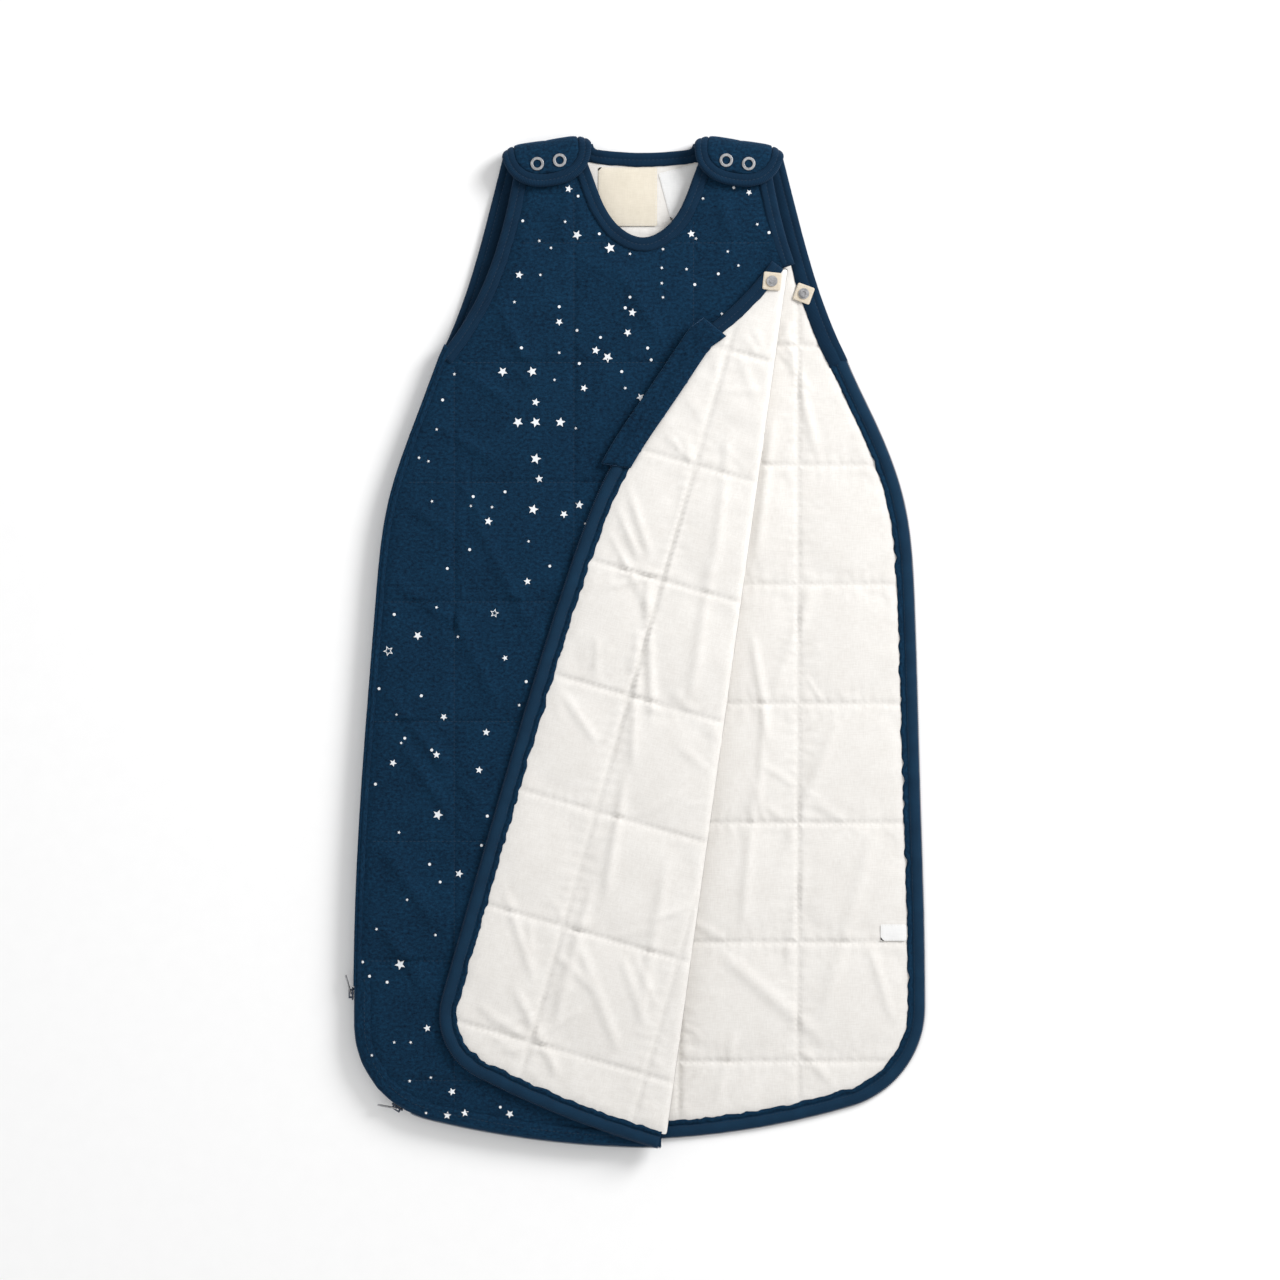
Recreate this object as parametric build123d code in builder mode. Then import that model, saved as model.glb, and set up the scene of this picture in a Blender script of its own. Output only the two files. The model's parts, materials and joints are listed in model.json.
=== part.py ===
"""A zipped, quilted baby sleeping bag, lying on its back with the front folded open.

Frame: millimetres, +Y towards the neck, +Z up off the surface that the bag lies on.
The origin is on the bag's underside, half way along it and on its centre line.

The front panel is drawn closed. What lies right of the fold line is then built on the
FLAP plane, which carries the closed layout over to where it lies folded open.
"""

import os
from math import cos, radians, sin

from build123d import *

os.makedirs("parts", exist_ok=True)

# ---- driving dimensions ---------------------------------------------------------------
SHELL = 0.6  # outer fabric
FILLING = 4.8  # wool filling
LINING = 0.6  # cotton lining
PANEL = SHELL + FILLING + LINING
BODY_GAP = 6.0  # the space for the child, between back and front
CLEAR = 0.3  # half the space between layers that move past each other

BACK_TOP = PANEL
FRONT_BOTTOM = BACK_TOP + BODY_GAP
FRONT_TOP = FRONT_BOTTOM + PANEL
FOLD_Z = FRONT_TOP + CLEAR  # height of the fold line that the flap turns about
FLAP_BOTTOM = FRONT_TOP + 2 * CLEAR

BINDING_WIDTH = 11.0  # knitted binding round armholes and neck
BINDING_PROUD = 0.2  # how far it stands above and below its panel
SEAM_WIDTH = 6.0  # piped seam down the left side
ZIP_ZONE = 13.0  # rim given over to the zip tape
TAPE = 0.8
COIL_WIDTH = 2.6
COIL_THICK = 2.2
CHAIN_HEIGHT = 6.0  # both coils together, standing on edge
CHAIN_SPLIT = 2.7  # space between the two coils, where a slider's wedge passes

UNDERARM_Y = 243.0
ZIP_END_Y = -291.0  # where the zip starts, low on the left side
FAR = 600.0  # beyond the bag, for cutting shapes

# ---- outlines, from the underarm down one side ------------------------------------------
LEFT_SIDE = [(-173, UNDERARM_Y), (-190, 197), (-216, 120), (-227, 35), (-240, -135), (-246, -325)]
BACK_RIGHT_SIDE = [(173, UNDERARM_Y), (194, 197), (223, 120), (232, 35), (237, -135), (241, -312)]
FRONT_RIGHT_SIDE = [(173, UNDERARM_Y), (188, 197), (212, 120), (222, 35), (226.5, -135), (227, -357)]
LEFT_CORNER_RADIUS = 84.0
BACK_CORNER_RADIUS = 88.0
FRONT_CORNER_RADIUS = 58.0
CORNER_SWEEP = 75.2
BACK_BOTTOM = (-20, -425)
FRONT_BOTTOM_EDGE = (0, -430)
BACK_ARMHOLE = [(173, UNDERARM_Y), (146.5, 310), (132, 362), (120.4, 407.8)]
FRONT_ARMHOLE = [(173, UNDERARM_Y), (146, 282), (129, 320), (116.5, 362.5), (107.5, 408)]
BACK_NECK = [(-41.9, 419.8), (0, 416.5), (41.9, 419.8)]
FRONT_NECK = [(-52, 416.5), (-37, 379), (-22, 354), (0, 343), (22, 354), (37, 379), (52, 416.5)]

# ---- the fold line of the front panel ---------------------------------------------------
FOLD_TOP = Vector(121, 333.4)
FOLD_FOOT = Vector(14.6, -426.5)
FOLD_DIRECTION = (FOLD_TOP - FOLD_FOOT).normalized()
FOLD_NORMAL = Vector(FOLD_DIRECTION.Y, -FOLD_DIRECTION.X)  # towards the right-hand side
FOLD_HOLLOW = 0.5  # radius left open inside the crease


def turned_over(point):
    """Where a point goes when it turns half round about the fold line."""
    away = Vector(point) - Vector(FOLD_TOP.X, FOLD_TOP.Y, FOLD_Z)
    along = FOLD_DIRECTION * away.dot(FOLD_DIRECTION)
    return Vector(FOLD_TOP.X, FOLD_TOP.Y, FOLD_Z) + along * 2 - away


FLAP_ORIGIN = turned_over((0, 0, 0))
FLAP = Plane(
    origin=FLAP_ORIGIN,
    x_dir=turned_over((1, 0, 0)) - FLAP_ORIGIN,
    z_dir=(0, 0, -1),
)

# ---- shoulders ---------------------------------------------------------------------------
STRAP_MIDDLE = Vector(81.2, 413.8)  # middle of the shoulder fold's axis, right-hand side
STRAP_SLOPE = 8.7  # degrees that the shoulder falls towards the arm
STRAP_HALF = 39.7
STRAP_INSET = 0.7  # at each end of the part that goes over the shoulder
SHOULDER_Z = (BACK_TOP + FLAP_BOTTOM) / 2
FOLD_INNER = SHOULDER_Z - BACK_TOP
FOLD_OUTER = SHOULDER_Z
TAB_EDGE = [(-36, 0), (-33, -4), (-22, -17), (0, -27.7), (22, -17), (33, -4), (36, 0)]
TAB_BINDING = 9.0
SNAP_SPACING = 19.2
SNAP_DROP = 8.0  # from the fold axis down to the snaps' centres

TAB_RIM_REGION = [
    (-FAR, -CLEAR), (-28, -CLEAR), (-24, -9), (24, -9),
    (28, -CLEAR), (FAR, -CLEAR), (FAR, -FAR), (-FAR, -FAR),
]

# ---- snaps ---------------------------------------------------------------------------------
CAP_RADIUS = 5.7
CAP_HOLE = 3.4
CAP_THICK = 0.9
SOCKET_RADIUS = 4.6
SOCKET_BORE = 2.6
SOCKET_THICK = 2.0
STUD_RADIUS = 4.6
STUD_FLANGE = 0.4
STUD_POST = 1.1
STUD_HEIGHT = 1.7
BACK_RING_RADIUS = 4.8
BACK_RING_HOLE = 2.6

TAB_SIDE = 15.0
TAB_TAPE = 0.8
TAPE_SNAP_RADIUS = 4.6
TAPE_SNAP_FLANGE = 0.8
LIFT = 0.2  # a tape tab's height above the lining that it lies on
BACK_TAB_AT = (139.5, 303.3)  # middle of the sewn edge
BACK_TAB_TURN = -20
FLAP_TAB_AT = (110.0, 312.5)
FLAP_TAB_TURN = -6
LABEL_THICK = 0.5
LABELS = {  # name: centre, size and turn in degrees
    "neck_label": ((-13, 379), (50, 50), 0),
    "care_label": ((36, 383), (36, 42), 15),
    "side_label": ((213.5, -248), (22, 14), 0),
}
SOCKET_RING = (3.1, 1.9, 1.2)  # outer radius, bore and height of the underarm socket's ring
STUD_PIN = (1.7, 0, 1.5)  # the same of the underarm stud's pin

# ---- zip: tapes, chain and the two sliders ---------------------------------------------------
BACK_TAPE_Z = (PANEL - TAPE) / 2
FRONT_TAPE_Z = FRONT_BOTTOM + BACK_TAPE_Z
CHAIN_Z = (BACK_TAPE_Z + FRONT_TAPE_Z + TAPE) / 2  # middle height of the closed chain
CHAIN_INSET = 0.3
CHAIN_DEPTH = 2.0
CORNER_CENTRE = Vector(LEFT_SIDE[-1][0] + LEFT_CORNER_RADIUS, LEFT_SIDE[-1][1])
CHAIN_END_ANGLE = 233.0  # where the closed chain ends, at the opening slider
OPENING_SLIDER_ANGLE = 236.5
END_SLIDER_X = LEFT_SIDE[-1][0]
END_SLIDER_Y = -299.5
CHAIN_IN_SLIDER = 3.6  # how far the closed chain runs on above the end slider's middle
JOINED_PAST_CHAIN = 4.0  # degrees of the corner, past the chain, that have no open coil
STOP_SIZE = (3.2, 2.4)
STOP_INSET = 2.4
TOP_STOP_SIZE = (2.4, 5.0)
TOP_STOP_THICK = 0.7
TOP_STOP_AT = (169.5, UNDERARM_Y - 8, 0)
TOP_STOP_TURN = 21
EDGE_TAPE = 1.2  # width of the tape that stands up to the closed chain

SLIDER_LENGTH = 11.0
SLIDER_WIDTH = 8.4
PLATE = 1.1
PLATE_GAP = 0.4  # from the zip's edge out to a slider's outer plate
THROAT = 3.4  # space between a slider's two plates
WEDGE_AT = -3.9  # the wedge between the plates, behind the slider's middle
BRIDGE_LENGTH = 8.0
BRIDGE_WIDTH = 1.8
BRIDGE_EYE = (4.8, 1.9)
BRIDGE_HEIGHT = 2.9

PULL_LENGTH = 17.0
PULL_WIDTH = 4.8
PULL_THICK = 1.2
PULL_EYE = (4.6, 2.7)
PULL_OUT = PLATE_GAP + PLATE + BRIDGE_EYE[1] / 2  # the pull's pivot, out from the zip's edge
END_PULL_TURN = 74.0  # degrees from straight out, towards the neck
OPENING_PULL_TURN = 67.0

# ---- flat shapes ------------------------------------------------------------------------------
with BuildSketch() as back_outline:
    with BuildLine():
        Spline(*LEFT_SIDE, tangents=[(-0.35, -0.94), (0, -1)])
        corner = CenterArc(CORNER_CENTRE, LEFT_CORNER_RADIUS, 180, CORNER_SWEEP)
        right_centre = (BACK_RIGHT_SIDE[-1][0] - BACK_CORNER_RADIUS, BACK_RIGHT_SIDE[-1][1])
        right_corner = CenterArc(right_centre, BACK_CORNER_RADIUS, 0, -CORNER_SWEEP)
        ThreePointArc(corner @ 1, BACK_BOTTOM, right_corner @ 1)
        Spline(*BACK_RIGHT_SIDE, tangents=[(0.35, -0.94), (0, -1)])
        Spline(*BACK_ARMHOLE)
        Spline(*[(-x, y) for x, y in BACK_ARMHOLE])
        Line(BACK_ARMHOLE[-1], BACK_NECK[-1])
        Line((-BACK_ARMHOLE[-1][0], BACK_ARMHOLE[-1][1]), BACK_NECK[0])
        ThreePointArc(*BACK_NECK)
    make_face()

with BuildSketch() as front_outline:
    with BuildLine():
        Spline(*LEFT_SIDE, tangents=[(-0.35, -0.94), (0, -1)])
        corner = CenterArc(CORNER_CENTRE, LEFT_CORNER_RADIUS, 180, CORNER_SWEEP)
        right_centre = (FRONT_RIGHT_SIDE[-1][0] - FRONT_CORNER_RADIUS, FRONT_RIGHT_SIDE[-1][1])
        right_corner = CenterArc(right_centre, FRONT_CORNER_RADIUS, 0, -CORNER_SWEEP)
        ThreePointArc(corner @ 1, FRONT_BOTTOM_EDGE, right_corner @ 1)
        Spline(*FRONT_RIGHT_SIDE, tangents=[(0.35, -0.94), (0, -1)])
        Spline(*FRONT_ARMHOLE)
        Spline(*[(-x, y) for x, y in FRONT_ARMHOLE])
        Line(FRONT_ARMHOLE[-1], FRONT_NECK[-1])
        Line((-FRONT_ARMHOLE[-1][0], FRONT_ARMHOLE[-1][1]), FRONT_NECK[0])
        Spline(*FRONT_NECK)
    make_face()


def box_corners(x0, y0, x1, y1):
    return [(x0, y0), (x1, y0), (x1, y1), (x0, y1)]


def grown(outline, amount):
    """An outline moved outwards, or inwards where the amount is negative, with plain spline edges."""
    with BuildSketch() as moved:
        add(outline.sketch)
        if amount:
            offset(amount=amount, mode=Mode.REPLACE)
    return moved.sketch.to_splines(degree=3, tolerance=0.002).face() if amount else outline.sketch


def rim(outline, width, region, gap=0.0):
    """The rim of an outline, from gap to width inside its edge, where it lies in the region."""
    with BuildSketch() as strip:
        add(grown(outline, -gap))
        add(grown(outline, -width), mode=Mode.SUBTRACT)
        add(region.sketch, mode=Mode.INTERSECT)
    return strip


def region_of(*polygons):
    """One region made of several polygons."""
    with BuildSketch() as region:
        for polygon in polygons:
            with BuildLine():
                Polyline(*polygon, close=True)
            make_face()
    return region


def without(shape, *taken):
    """A shape less the strips that border it."""
    with BuildSketch() as rest:
        add(shape.sketch)
        for strip in taken:
            add(strip.sketch, mode=Mode.SUBTRACT)
    return rest


def within(shape, region):
    """The part of a shape that lies in a region."""
    with BuildSketch() as part:
        add(shape.sketch)
        add(region.sketch, mode=Mode.INTERSECT)
    return part


def fold_side(sign):
    """Everything on one side of the fold line, clear of it: -1 is the fixed part, 1 the flap."""
    near = FOLD_NORMAL * (sign * CLEAR)
    far = FOLD_NORMAL * (sign * FAR)
    ends = [FOLD_TOP + FOLD_DIRECTION * FAR, FOLD_FOOT - FOLD_DIRECTION * FAR]
    corners = [ends[0] + near, ends[1] + near, ends[1] + far, ends[0] + far]
    return region_of([(c.X, c.Y) for c in corners])


STRAP_EDGE_X = 109.3  # where the back binding turns over the shoulder
FRONT_ARM_X = 96.0  # the same on the front, under the tab
BACK_NECK_BOX = (-42, 380, 42, FAR)
FRONT_NECK_BOX = (-63, 325, 63, FAR)
SEAM_INSIDE_X = -80.0  # well inside the left edge
ZIP_INSIDE = (80.0, -300.0)  # well inside the right edge, below the zip's start on the left
main_side = fold_side(-1)
flap_side = fold_side(1)
left_arm_region = region_of(box_corners(-FAR, UNDERARM_Y, -STRAP_EDGE_X, FAR))
right_arm_region = region_of(box_corners(STRAP_EDGE_X, UNDERARM_Y, FAR, FAR))
front_left_arm_region = region_of(box_corners(-FAR, UNDERARM_Y, -FRONT_ARM_X, FAR))
front_right_arm_region = region_of(box_corners(FRONT_ARM_X, UNDERARM_Y, FAR, FAR))
back_neck_region = region_of(box_corners(*BACK_NECK_BOX))
front_neck_region = region_of(box_corners(*FRONT_NECK_BOX))
seam_region = region_of(box_corners(-FAR, ZIP_END_Y, SEAM_INSIDE_X, UNDERARM_Y))
zip_region = region_of(
    box_corners(*ZIP_INSIDE, FAR, UNDERARM_Y),
    box_corners(-FAR, -FAR, FAR, ZIP_END_Y),
)


def left_corner_region(top_y, last_angle):
    """The bag's lower left edge, from a height down and round to an angle of the corner."""
    middle_angle = (180 + last_angle) / 2
    reach = [
        (CORNER_CENTRE.X + FAR * cos(radians(a)), CORNER_CENTRE.Y + FAR * sin(radians(a)))
        for a in (middle_angle, last_angle)
    ]
    return region_of([(CORNER_CENTRE.X, CORNER_CENTRE.Y), (CORNER_CENTRE.X, top_y), (-FAR, top_y), *reach])


CHAIN_TOP_Y = END_SLIDER_Y + CHAIN_IN_SLIDER
closed_region = left_corner_region(CHAIN_TOP_Y, CHAIN_END_ANGLE)
joined_region = left_corner_region(ZIP_END_Y, CHAIN_END_ANGLE + JOINED_PAST_CHAIN)

back_rims = [
    rim(back_outline, BINDING_WIDTH, back_neck_region),
    rim(back_outline, BINDING_WIDTH, left_arm_region),
    rim(back_outline, BINDING_WIDTH, right_arm_region),
    rim(back_outline, SEAM_WIDTH, seam_region),
    rim(back_outline, ZIP_ZONE, zip_region),
]
back_plate = without(back_outline, *back_rims)
front_rims = [
    rim(front_outline, BINDING_WIDTH, front_neck_region),
    rim(front_outline, BINDING_WIDTH, front_left_arm_region),
    rim(front_outline, BINDING_WIDTH, front_right_arm_region),
    rim(front_outline, SEAM_WIDTH, seam_region),
    rim(front_outline, ZIP_ZONE, zip_region),
]
front_plate = without(front_outline, *front_rims)
made = {}


def keep(part, name):
    """Labels a finished piece and writes its STEP file."""
    part.label = name
    made[name] = part
    export_step(part, f"parts/{name}.step")


# ---- back panel ---------------------------------------------------------------------------------
with BuildPart() as back_shell:
    with BuildSketch(Plane.XY):
        add(back_plate.sketch)
    extrude(amount=SHELL)
keep(back_shell.part, "back_shell")

with BuildPart() as back_filling:
    with BuildSketch(Plane.XY.offset(SHELL)):
        add(back_plate.sketch)
    extrude(amount=FILLING)
keep(back_filling.part, "back_filling")

with BuildPart() as back_lining:
    with BuildSketch(Plane.XY.offset(SHELL + FILLING)):
        add(back_plate.sketch)
    extrude(amount=LINING)
keep(back_lining.part, "back_lining")

BINDINGS = ("neck_binding", "left_armhole_binding", "right_armhole_binding")
for name, strip in zip(BINDINGS, back_rims):
    with BuildPart() as binding:
        with BuildSketch(Plane.XY):
            add(strip.sketch)
        extrude(amount=PANEL + BINDING_PROUD)
    keep(binding.part, f"back_{name}")

with BuildPart() as left_side_seam:
    with BuildSketch(Plane.XY):
        add(back_rims[3].sketch)
    extrude(amount=FRONT_TOP + BINDING_PROUD)
keep(left_side_seam.part, "left_side_seam")

# ---- front panel, fixed part -----------------------------------------------------------------------
main_plate = within(front_plate, main_side)
with BuildPart() as front_lining:
    with BuildSketch(Plane.XY.offset(FRONT_BOTTOM)):
        add(main_plate.sketch)
    extrude(amount=LINING)
keep(front_lining.part, "front_lining")

with BuildPart() as front_filling:
    with BuildSketch(Plane.XY.offset(FRONT_BOTTOM + LINING)):
        add(main_plate.sketch)
    extrude(amount=FILLING)
keep(front_filling.part, "front_filling")

with BuildPart() as front_shell:
    with BuildSketch(Plane.XY.offset(FRONT_TOP - SHELL)):
        add(main_plate.sketch)
    extrude(amount=SHELL)
keep(front_shell.part, "front_shell")

for name, strip in zip(BINDINGS, front_rims):
    with BuildPart() as binding:
        with BuildSketch(Plane.XY.offset(FRONT_BOTTOM - BINDING_PROUD)):
            add(within(strip, main_side).sketch)
        extrude(amount=PANEL + 2 * BINDING_PROUD)
    keep(binding.part, f"front_{name}")

# ---- front panel, folded flap ------------------------------------------------------------------------
flap_plate = within(front_plate, flap_side)
with BuildPart() as flap_lining:
    with BuildSketch(FLAP.offset(FRONT_BOTTOM)):
        add(flap_plate.sketch)
    extrude(amount=LINING)
keep(flap_lining.part, "flap_lining")

with BuildPart() as flap_filling:
    with BuildSketch(FLAP.offset(FRONT_BOTTOM + LINING)):
        add(flap_plate.sketch)
    extrude(amount=FILLING)
keep(flap_filling.part, "flap_filling")

with BuildPart() as flap_shell:
    with BuildSketch(FLAP.offset(FRONT_TOP - SHELL)):
        add(flap_plate.sketch)
    extrude(amount=SHELL)
keep(flap_shell.part, "flap_shell")

with BuildPart() as flap_armhole_binding:
    with BuildSketch(FLAP.offset(FRONT_BOTTOM)):
        add(within(front_rims[2], flap_side).sketch)
    extrude(amount=PANEL + BINDING_PROUD)
keep(flap_armhole_binding.part, "flap_armhole_binding")

with BuildPart() as front_fold:
    fold_section = Plane(
        origin=(FOLD_FOOT.X, FOLD_FOOT.Y, FOLD_Z),
        x_dir=FOLD_NORMAL,
        z_dir=FOLD_DIRECTION,
    )
    with BuildSketch(fold_section):
        Circle(PANEL + CLEAR)
        Circle(FOLD_HOLLOW, mode=Mode.SUBTRACT)
        with Locations((FAR / 2 - CLEAR, 0)):
            Rectangle(FAR, FAR, mode=Mode.INTERSECT)
    extrude(amount=(FOLD_TOP - FOLD_FOOT).length)
keep(front_fold.part, "front_fold")

# ---- zip tapes and open coils ------------------------------------------------------------------------
back_tape = rim(back_outline, ZIP_ZONE, zip_region, COIL_WIDTH)
with BuildPart() as back_zip_tape:
    with BuildSketch(Plane.XY.offset(BACK_TAPE_Z)):
        add(back_tape.sketch)
    extrude(amount=TAPE)
keep(back_zip_tape.part, "back_zip_tape")

front_tape = rim(front_outline, ZIP_ZONE, zip_region, COIL_WIDTH)
with BuildPart() as front_zip_tape:
    with BuildSketch(Plane.XY.offset(FRONT_TAPE_Z)):
        add(within(front_tape, main_side).sketch)
    extrude(amount=TAPE)
keep(front_zip_tape.part, "front_zip_tape")

with BuildPart() as flap_zip_tape:
    with BuildSketch(FLAP.offset(FRONT_TAPE_Z)):
        add(within(front_tape, flap_side).sketch)
    extrude(amount=TAPE)
keep(flap_zip_tape.part, "flap_zip_tape")

COIL_DROP = (COIL_THICK - TAPE) / 2
back_coil = without(rim(back_outline, COIL_WIDTH, zip_region), joined_region)
with BuildPart() as back_zip_coil:
    with BuildSketch(Plane.XY.offset(BACK_TAPE_Z - COIL_DROP)):
        add(back_coil.sketch)
    extrude(amount=COIL_THICK)
keep(back_zip_coil.part, "back_zip_coil")

front_coil = without(rim(front_outline, COIL_WIDTH, zip_region), joined_region)
with BuildPart() as front_zip_coil:
    with BuildSketch(Plane.XY.offset(FRONT_TAPE_Z - COIL_DROP)):
        add(within(front_coil, main_side).sketch)
    extrude(amount=COIL_THICK)
keep(front_zip_coil.part, "front_zip_coil")

with BuildPart() as flap_zip_coil:
    with BuildSketch(FLAP.offset(FRONT_TAPE_Z - COIL_DROP)):
        add(within(front_coil, flap_side).sketch)
    extrude(amount=COIL_THICK)
keep(flap_zip_coil.part, "flap_zip_coil")

# ---- closed stretch of the zip, standing on edge between the two sliders -----------------------
CHAIN_BOTTOM = CHAIN_Z - CHAIN_HEIGHT / 2
CHAIN_TOP = CHAIN_Z + CHAIN_HEIGHT / 2
COIL_HEIGHT = (CHAIN_HEIGHT - CHAIN_SPLIT) / 2
chain_rim = rim(front_outline, CHAIN_INSET + CHAIN_DEPTH, closed_region, CHAIN_INSET)
with BuildPart() as zip_chain:
    for bottom in (CHAIN_BOTTOM, CHAIN_TOP - COIL_HEIGHT):
        with BuildSketch(Plane.XY.offset(bottom)):
            add(chain_rim.sketch)
        extrude(amount=COIL_HEIGHT)
keep(zip_chain.part, "zip_chain")

edge_rim = rim(front_outline, COIL_WIDTH, closed_region, COIL_WIDTH - EDGE_TAPE)
with BuildPart() as zip_edge_tapes:
    with BuildSketch(Plane.XY.offset(BACK_TAPE_Z)):
        add(edge_rim.sketch)
    extrude(amount=CHAIN_BOTTOM - BACK_TAPE_Z)
    with BuildSketch(Plane.XY.offset(CHAIN_TOP)):
        add(edge_rim.sketch)
    extrude(amount=FRONT_TAPE_Z + TAPE - CHAIN_TOP)
keep(zip_edge_tapes.part, "zip_edge_tapes")

with BuildPart() as zip_end_stop:
    with BuildSketch(Plane.XY.offset(BACK_TAPE_Z + TAPE)):
        with Locations((END_SLIDER_X + STOP_INSET, ZIP_END_Y - STOP_SIZE[1] / 2 - LIFT)):
            RectangleRounded(*STOP_SIZE, 0.7)
    extrude(amount=FRONT_TAPE_Z - BACK_TAPE_Z - TAPE)
keep(zip_end_stop.part, "zip_end_stop")


def top_stop(plane):
    """A crimped metal stop on the zip tape, beside the top end of its coil."""
    with BuildPart() as stop:
        with BuildSketch(plane):
            with Locations(Location(TOP_STOP_AT, TOP_STOP_TURN)):
                RectangleRounded(*TOP_STOP_SIZE, 0.6)
        extrude(amount=TOP_STOP_THICK)
    return stop.part


keep(top_stop(Plane.XY.offset(BACK_TAPE_Z + TAPE)), "back_zip_top_stop")
keep(top_stop(FLAP.offset(FRONT_TAPE_Z - TOP_STOP_THICK)), "flap_zip_top_stop")

# ---- zip guard: a folded strip on the inside, over the top of the zip --------------------------
GUARD_WIDTH = 24.0
GUARD_THICK = 1.4
GUARD_OVERHANG = 8.0
GUARD_ENDS = [(120, 235), (FAR, 443), (FAR, 64), (150, 124)]
with BuildPart() as zip_guard:
    with BuildSketch(FLAP.offset(FRONT_BOTTOM - GUARD_THICK)):
        add(grown(front_outline, GUARD_OVERHANG))
        add(grown(front_outline, GUARD_OVERHANG - GUARD_WIDTH), mode=Mode.SUBTRACT)
        add(region_of(GUARD_ENDS).sketch, mode=Mode.INTERSECT)
    extrude(amount=GUARD_THICK)
keep(zip_guard.part, "zip_guard")

# ---- shoulder tabs, made for both sides ----------------------------------------------------------
FOLD_HALF = STRAP_HALF - STRAP_INSET
for side, sign in (("left", -1), ("right", 1)):
    middle = Vector(sign * STRAP_MIDDLE.X, STRAP_MIDDLE.Y)
    slope = radians(-sign * STRAP_SLOPE)
    across = Vector(cos(slope), sin(slope), 0)
    uphill = Vector(-sin(slope), cos(slope), 0)
    strap = Plane(origin=middle, x_dir=across, z_dir=(0, 0, 1))
    snap_places = [(-SNAP_SPACING / 2, -SNAP_DROP), (SNAP_SPACING / 2, -SNAP_DROP)]

    with BuildSketch() as tab_outline:
        with BuildLine():
            Spline(*TAB_EDGE)
            Line(TAB_EDGE[-1], TAB_EDGE[0])
        make_face()
    tab_rim = rim(tab_outline, TAB_BINDING, region_of(TAB_RIM_REGION))
    below_fold = region_of(box_corners(-FAR, -FAR, FAR, -CLEAR))
    tab_plate = within(without(tab_outline, tab_rim), below_fold)

    with BuildPart() as tab_lining:
        with BuildSketch(strap.offset(FLAP_BOTTOM)):
            add(tab_plate.sketch)
            with Locations(*snap_places):
                Circle(SOCKET_RADIUS, mode=Mode.SUBTRACT)
        extrude(amount=LINING)
    keep(tab_lining.part, f"{side}_tab_lining")

    with BuildPart() as tab_filling:
        with BuildSketch(strap.offset(FLAP_BOTTOM + LINING)):
            add(tab_plate.sketch)
            with Locations(*snap_places):
                Circle(SOCKET_RADIUS, mode=Mode.SUBTRACT)
        extrude(amount=FILLING)
    keep(tab_filling.part, f"{side}_tab_filling")

    with BuildPart() as tab_shell:
        with BuildSketch(strap.offset(FLAP_BOTTOM + LINING + FILLING)):
            add(tab_plate.sketch)
        extrude(amount=SHELL)
    keep(tab_shell.part, f"{side}_tab_shell")

    with BuildPart() as tab_binding:
        with BuildSketch(strap.offset(FLAP_BOTTOM)):
            add(tab_rim.sketch)
        extrude(amount=PANEL + BINDING_PROUD)
    keep(tab_binding.part, f"{side}_tab_binding")

    with BuildPart() as shoulder_fold:
        fold_end = Vector(middle.X, middle.Y, SHOULDER_Z) - across * FOLD_HALF
        with BuildSketch(Plane(origin=fold_end, x_dir=uphill, z_dir=across)):
            Circle(FOLD_OUTER)
            Circle(FOLD_INNER, mode=Mode.SUBTRACT)
            with Locations((FAR / 2, 0)):
                Rectangle(FAR, FAR, mode=Mode.INTERSECT)
        extrude(amount=2 * FOLD_HALF)
    keep(shoulder_fold.part, f"{side}_shoulder_fold")

    with BuildPart() as snap_caps:
        with BuildSketch(strap.offset(FLAP_BOTTOM + PANEL)):
            with Locations(*snap_places):
                Circle(CAP_RADIUS)
                Circle(CAP_HOLE, mode=Mode.SUBTRACT)
        extrude(amount=CAP_THICK)
        fillet(snap_caps.faces().sort_by(Axis.Z)[-2:].edges(), 0.35)
    keep(snap_caps.part, f"{side}_snap_caps")

    with BuildPart() as snap_sockets:
        with BuildSketch(strap.offset(FLAP_BOTTOM)):
            with Locations(*snap_places):
                Circle(SOCKET_RADIUS)
                Circle(SOCKET_BORE, mode=Mode.SUBTRACT)
        extrude(amount=SOCKET_THICK)
    keep(snap_sockets.part, f"{side}_snap_sockets")

    with BuildPart() as snap_studs:
        with BuildSketch(strap.offset(FRONT_TOP)):
            with Locations(*snap_places):
                Circle(STUD_RADIUS)
        extrude(amount=STUD_FLANGE)
        with BuildSketch(strap.offset(FRONT_TOP + STUD_FLANGE)):
            with Locations(*snap_places):
                Circle(STUD_POST)
        extrude(amount=STUD_HEIGHT - STUD_FLANGE)
        fillet(snap_studs.faces().sort_by(Axis.Z)[-2:].edges(), 0.3)
    keep(snap_studs.part, f"{side}_snap_studs")

    with BuildPart() as snap_backs:
        with BuildSketch(strap.offset(FRONT_BOTTOM - CAP_THICK)):
            with Locations(*snap_places):
                Circle(BACK_RING_RADIUS)
                Circle(BACK_RING_HOLE, mode=Mode.SUBTRACT)
        extrude(amount=CAP_THICK)
    keep(snap_backs.part, f"{side}_snap_backs")

# ---- underarm snaps on their tape tabs ------------------------------------------------------------
def tape_tab(plane):
    """A square of cotton tape, sewn along its upper edge."""
    with BuildPart() as tab:
        with BuildSketch(plane):
            with Locations((0, -TAB_SIDE / 2)):
                RectangleRounded(TAB_SIDE, TAB_SIDE, 1.2)
        extrude(amount=TAB_TAPE)
    return tab.part


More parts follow.
